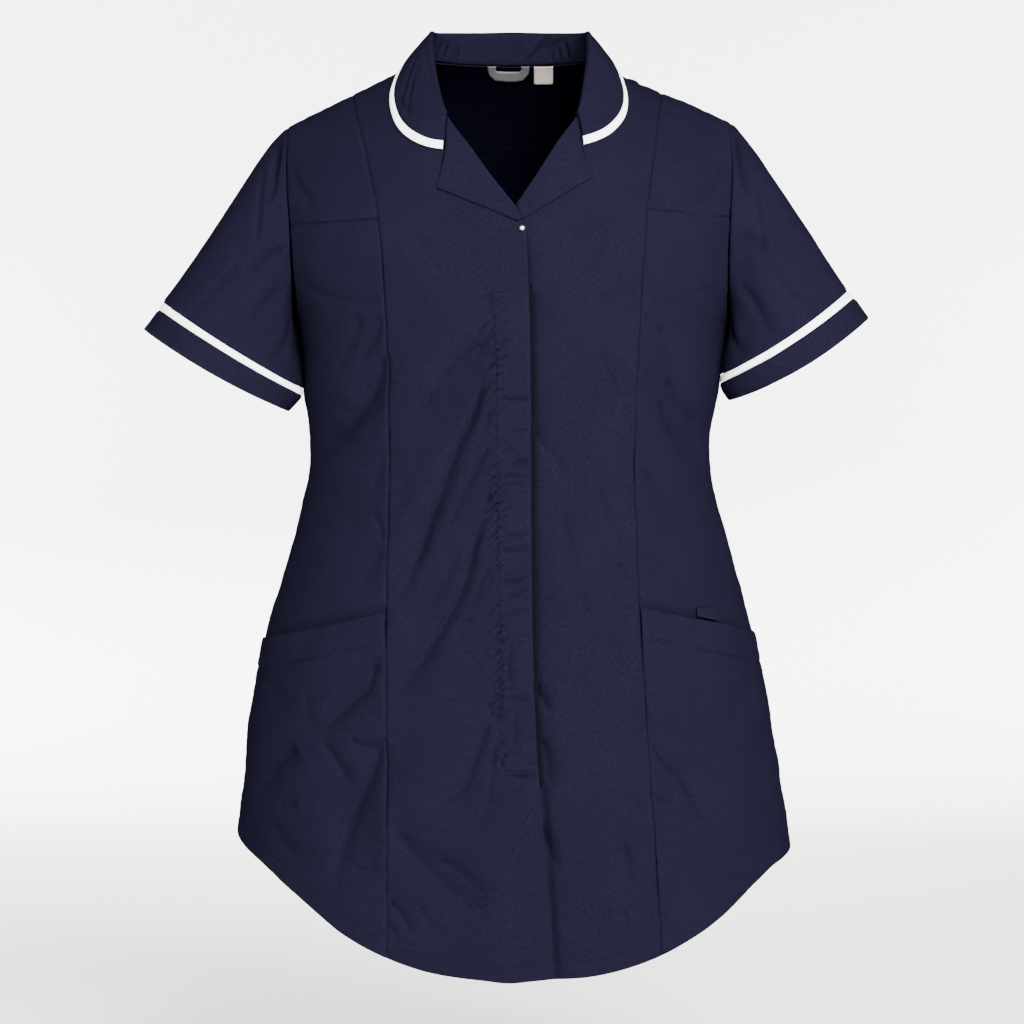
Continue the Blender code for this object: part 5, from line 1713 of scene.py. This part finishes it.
class Stitching(bpy.types.Operator):
    """Sew the fly, hems, pockets, collar, cuffs, sleeves, back, chest seam and under edge"""

    bl_idname = "tunic.stitching"
    bl_label = "Stitching"

    def execute(self, context):
        start_piece()
        right, left = cloth_of("right_centre_front"), cloth_of("left_centre_front")
        fronts = [cloth_of(side + "_" + part) for side in SIDES
                  for part in ("centre_front", "pocket_front")]
        sew("fly_stitches", [traced(right, FLY_STITCH)], pitch=2.3, over=0.3,
            material=thread_painted_lit(), full=0.24)
        sew("hem_stitches", [parallel(cloth, "foot", HEM_SEW) for cloth in fronts + [cloth_of("back")]])
        sew("pocket_stitches", [parallel(cloth_of(side + "_pocket_front"), "top", MOUTH_SEW)
                                for side in SIDES])
        collar = cloth_of("collar")
        sew("collar_stitches", [parallel(collar, "foot", EDGE_SEW), parallel(collar, "top", NECK_SEW),
                                parallel(collar, "start", EDGE_SEW, 0.45, 1.0),
                                parallel(collar, "end", EDGE_SEW, 0.45, 1.0)])
        sew("cuff_stitches", [parallel(cloth_of(side + "_cuff"), border, EDGE_SEW)
                              for side in SIDES for border in ("top", "foot")])
        sew("sleeve_stitches", [parallel(cloth_of(side + "_sleeve"), "foot", EDGE_SEW)
                                for side in SIDES])
        sew("back_stitches", [parallel(cloth_of("back"), "top", YOKE_SEW)])
        sew("chest_seam_stitches", [traced(cloth_of("left_upper_side_front"), CHEST_TACK)],
            over=0.2, material=thread_painted_lit())
        sew("edge_stitches", [parallel(left, "start", LAP_SEW, 0.0, 0.98)])
        return {"FINISHED"}


# ---------------------------------------------------------------- the stage
CAMERA_PLACE = (0.0018, -3.6, -0.398)   # the photograph's: level with the tunic's middle
CAMERA_LENS = 140.6
# The floor is a round bowl, in metres: level out to where it begins to curve up into its wall.
BOWL_RADIUS = 7.0
BOWL_FLOOR = -0.93
BOWL_LEVEL = 3.2
BOWL_STEPS = 16
# A soft light: its name, place and aim in metres, size, power in watts, spread and colour.
Softbox = namedtuple("Softbox", "name place aim size power spread colour")
MIDDLE = (0.0, 0.0, -0.4)               # of the tunic, at which the lights aim
SOFTBOXES = (
    Softbox("key", (1.2, -4.0, 1.7), MIDDLE, 1.9, 930.0, 180.0, (1.0, 0.99, 0.97)),
    Softbox("fill", (-2.8, -2.6, 0.2), MIDDLE, 2.0, 45.0, 180.0, (0.97, 0.98, 1.0)),
    Softbox("side", (3.0, -0.6, 0.8), MIDDLE, 2.0, 20.0, 180.0, (1.0, 1.0, 1.0)),
    Softbox("back", (-0.8, 4.2, 1.5), MIDDLE, 2.0, 420.0, 180.0, (1.0, 1.0, 1.0)),
    Softbox("wall_left", (2.4, 3.0, 0.6), (0.8, 7.0, 0.0), 1.6, 300.0, 130.0, (1.0, 1.0, 1.0)),
    Softbox("wall_right", (-2.4, 3.0, 0.6), (-0.8, 7.0, 0.0), 1.6, 300.0, 130.0, (1.0, 1.0, 1.0)),
    Softbox("wall_front", (2.4, -3.0, 0.6), (0.8, -7.0, 0.0), 1.6, 140.0, 130.0, (1.0, 1.0, 1.0)),
)


SKY_COLOUR = (0.93, 0.95, 1.0, 1.0)     # a faint cool light from all round
SKY_STRENGTH = 0.2


class Stage(bpy.types.Operator):
    """Set the pale floor, the soft lights and the camera"""

    bl_idname = "tunic.stage"
    bl_label = "Stage"

    def execute(self, context):
        start_piece()
        points = [(0.0, BOWL_FLOOR), (BOWL_LEVEL, BOWL_FLOOR)]
        rise = BOWL_RADIUS - BOWL_LEVEL
        for k in range(1, BOWL_STEPS + 1):
            turn = math.radians(90.0 * k / BOWL_STEPS)
            points.append((BOWL_LEVEL + rise * math.sin(turn),
                           BOWL_FLOOR + rise * (1 - math.cos(turn))))
        mesh = bpy.data.meshes.new("studio_floor")
        edges = [(i, i + 1) for i in range(len(points) - 1)]
        mesh.from_pydata([(r, 0, z) for r, z in points], edges, [])
        floor = bpy.data.objects.new("studio_floor", mesh)
        context.scene.collection.objects.link(floor)
        screw = floor.modifiers.new("turned", "SCREW")
        screw.steps = screw.render_steps = 96
        screw.use_merge_vertices = True
        screw.use_smooth_shade = True
        floor.data.materials.append(matt_floor())
        for box in SOFTBOXES:
            bpy.ops.object.light_add(type="AREA", location=box.place)
            light = context.object
            light.name = box.name
            light.data.size = box.size
            light.data.energy = box.power
            light.data.color = box.colour
            light.data.spread = math.radians(box.spread)
            run = Vector(box.aim) - Vector(box.place)
            light.rotation_euler = run.to_track_quat("-Z", "Y").to_euler()
        world = context.scene.world or bpy.data.worlds.new("studio")
        context.scene.world = world
        world.use_nodes = True
        backdrop = world.node_tree.nodes["Background"]
        backdrop.inputs["Color"].default_value = SKY_COLOUR
        backdrop.inputs["Strength"].default_value = SKY_STRENGTH
        bpy.ops.object.camera_add(location=CAMERA_PLACE, rotation=(math.pi / 2, 0, 0))
        camera = context.object
        camera.data.lens = CAMERA_LENS
        camera.data.sensor_width = 36.0
        context.scene.camera = camera
        return {"FINISHED"}


STEPS = (FrontPanels, BackPanels, Sleeves, Collar, Fastening, LoopAndLabel, Stitching, Stage)


class TunicPanel(bpy.types.Panel):
    """The tunic's steps, in the 3D view's sidebar"""

    bl_idname = "VIEW3D_PT_tunic"
    bl_label = "Maternity tunic"
    bl_space_type = "VIEW_3D"
    bl_region_type = "UI"
    bl_category = "Tunic"

    def draw(self, context):
        for step in STEPS:
            self.layout.operator(step.bl_idname)


def register():
    """Register the classes and add the tunic's sizes and colours to the scene."""
    for group in (TunicSizes, TunicColours, *STEPS, TunicPanel):
        bpy.utils.register_class(group)
    bpy.types.Scene.tunic_sizes = bpy.props.PointerProperty(type=TunicSizes)
    bpy.types.Scene.tunic_colours = bpy.props.PointerProperty(type=TunicColours)


def unregister():
    """Take back what register added."""
    del bpy.types.Scene.tunic_colours
    del bpy.types.Scene.tunic_sizes
    for group in reversed((TunicSizes, TunicColours, *STEPS, TunicPanel)):
        bpy.utils.unregister_class(group)


def main():
    """Make the whole tunic and its stage."""
    register()
    bpy.ops.tunic.front_panels()
    bpy.ops.tunic.back_panels()
    bpy.ops.tunic.sleeves()
    bpy.ops.tunic.collar()
    bpy.ops.tunic.fastening()
    bpy.ops.tunic.loop_and_label()
    bpy.ops.tunic.stitching()
    bpy.ops.tunic.stage()


if __name__ == "__main__":
    main()
